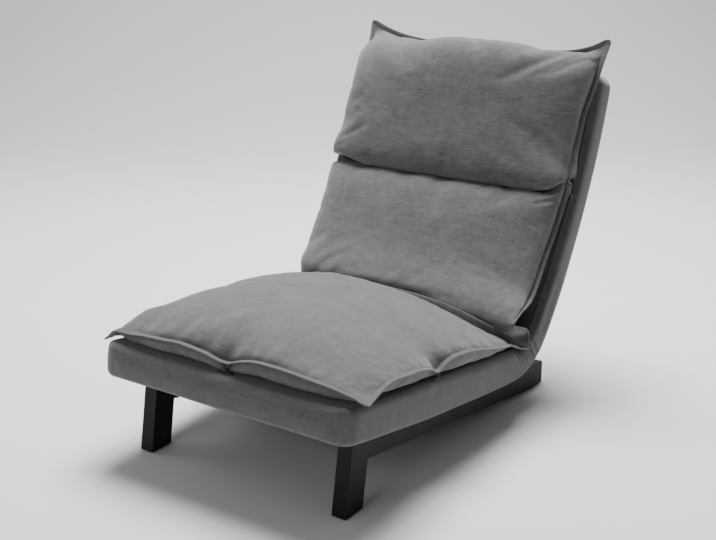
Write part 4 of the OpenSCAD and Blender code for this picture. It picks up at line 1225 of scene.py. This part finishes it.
seat_tacks = [tack(points(on_seat, [(8 + 4.0 * i, -42 + 1.5 * math.sin(i * 2), -1.6) for i in range(-5, 6)]),
                   points(on_seat, [(8 + 2.3 * i, -43 + 1.2 * math.cos(i * 2), 16.6) for i in range(-5, 6)]), points(on_seat, [(8, -43.5, 7.5)])[0], 0.0013)]
back_tacks = []
for sx in (-1, 1):
    seat_tacks.append(tack(points(on_seat, [(sx * (298 + 1.0 * math.sin(i * 2)), 241 + 2.6 * i, -2.5) for i in range(-4, 5)]),
                           points(on_seat, [(sx * (304.5 + 1.0 * math.cos(i * 2)), 241 + 1.7 * i, 15.0) for i in range(-4, 5)]), points(on_seat, [(sx * 301.5, 241, 6.0)])[0], 0.0011))
    back_tacks.append(tack(points(on_back, [(sx * (296 + 1.2 * math.sin(i * 2)), 347 + 3.0 * i, -2.5) for i in range(-3, 4)]),
                           points(on_back, [(sx * (309 + 1.4 * math.cos(i * 2)), 351 + 2.6 * i, 53.0) for i in range(-3, 4)]), points(on_back, [(sx * 303, 350, 27.0)])[0], 0.0011))
seat_ties = make("seat_tie_threads", *gather(seat_tacks), "tie")
back_ties = make("back_tie_threads", *gather(back_tacks), "tie")
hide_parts("seat_cushion_ties")
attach(seat_ties, "base")
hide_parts("back_cushion_ties")
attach(back_ties, "back")


# ------------------------------------------------------------------ bodies
seams = slab_seams()
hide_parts("seat_cover", "back_cover", "seat_foam", "back_foam")
for o in (slab, seams):
    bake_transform(o)

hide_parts("seat_cushion")
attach(seat, "base")
for o in flanges["seat"]:
    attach(o, "base")

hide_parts("lumbar_cushion")
for o in (lumbar, *flanges["lumbar"]):
    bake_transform(o)

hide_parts("head_cushion")
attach(head, "back")
for o in flanges["head"]:
    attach(o, "back")


# ------------------------------------------------------------------ stage, light and camera
def floor():
    m, nt, bsdf = principled("studio_floor")
    tc = node(nt, "ShaderNodeTexCoord")
    cloud = noise_at(nt, tc.outputs["Object"], 1.3, 2.0, 0.5)
    col = node(nt, "ShaderNodeMix", data_type="RGBA")
    col.inputs[6].default_value = (0.86, 0.86, 0.86, 1)
    col.inputs[7].default_value = (0.9, 0.9, 0.9, 1)
    nt.links.new(cloud, col.inputs[0])
    nt.links.new(col.outputs[2], bsdf.inputs["Base Color"])
    bsdf.inputs["Roughness"].default_value = 0.9
    bsdf.inputs["Specular IOR Level"].default_value = 0.1
    me = bpy.data.meshes.new("studio_floor")
    prof = [(-7.0, 0.0), (2.6, 0.0)] + [(2.6 + 1.6 * math.sin(a), 1.6 - 1.6 * math.cos(a)) for a in np.linspace(0.1, math.pi / 2, 14)] + [(4.2, 7.0)]
    verts = [(x, y, z) for y, z in prof for x in (-9.0, 9.0)]
    faces = [(2 * i, 2 * i + 1, 2 * i + 3, 2 * i + 2) for i in range(len(prof) - 1)]
    me.from_pydata(verts, [], faces)
    me.materials.append(m)
    me.polygons.foreach_set("use_smooth", [True] * len(me.polygons))
    o = bpy.data.objects.new("studio_floor", me)
    o.rotation_euler = (0, 0, math.radians(34.7))
    bpy.context.scene.collection.objects.link(o)
    return o


floor()


def area(name, where, aim, size, power, shape="RECTANGLE", size_y=None):
    l = bpy.data.lights.new(name, "AREA")
    l.shape = shape
    l.size = size
    if size_y:
        l.size_y = size_y
    l.energy = power
    o = bpy.data.objects.new(name, l)
    o.location = where
    o.rotation_mode = "QUATERNION"
    o.rotation_quaternion = (Vector(aim) - Vector(where)).to_track_quat("-Z", "Y")
    bpy.context.scene.collection.objects.link(o)
    return o


area("key", (-0.5, 0.95, 3.2), (0, 0.05, 0.3), 1.7, 262, size_y=1.5)
area("front", (-0.2, -3.3, 1.5), (0, 0, 0.3), 2.0, 17, size_y=1.2)
area("left", (-3.0, -0.9, 1.9), (0, 0, 0.35), 1.6, 11, size_y=1.6)
area("behind", (1.9, 2.6, 2.6), (0, 0.2, 0.5), 2.0, 3, size_y=1.6)

world_node = bpy.data.worlds.new("studio")
world_node.use_nodes = True
bg = world_node.node_tree.nodes["Background"]
bg.inputs["Color"].default_value = (1.0, 1.0, 1.0, 1)
bg.inputs["Strength"].default_value = 0.132
bpy.context.scene.world = world_node

cam = bpy.data.cameras.new("camera")
cam.lens = 60.97
cam.sensor_width = 36.0
cam.clip_start = 0.05
cam.clip_end = 60
cam.dof.use_dof = False
cam_obj = bpy.data.objects.new("camera", cam)
cam_obj.location = (1.41063, -2.09852, 1.12792)
cam_obj.rotation_euler = (math.radians(90 - 17.852), 0, math.radians(34.714))
bpy.context.scene.collection.objects.link(cam_obj)
bpy.context.scene.camera = cam_obj

bpy.context.view_layer.update()
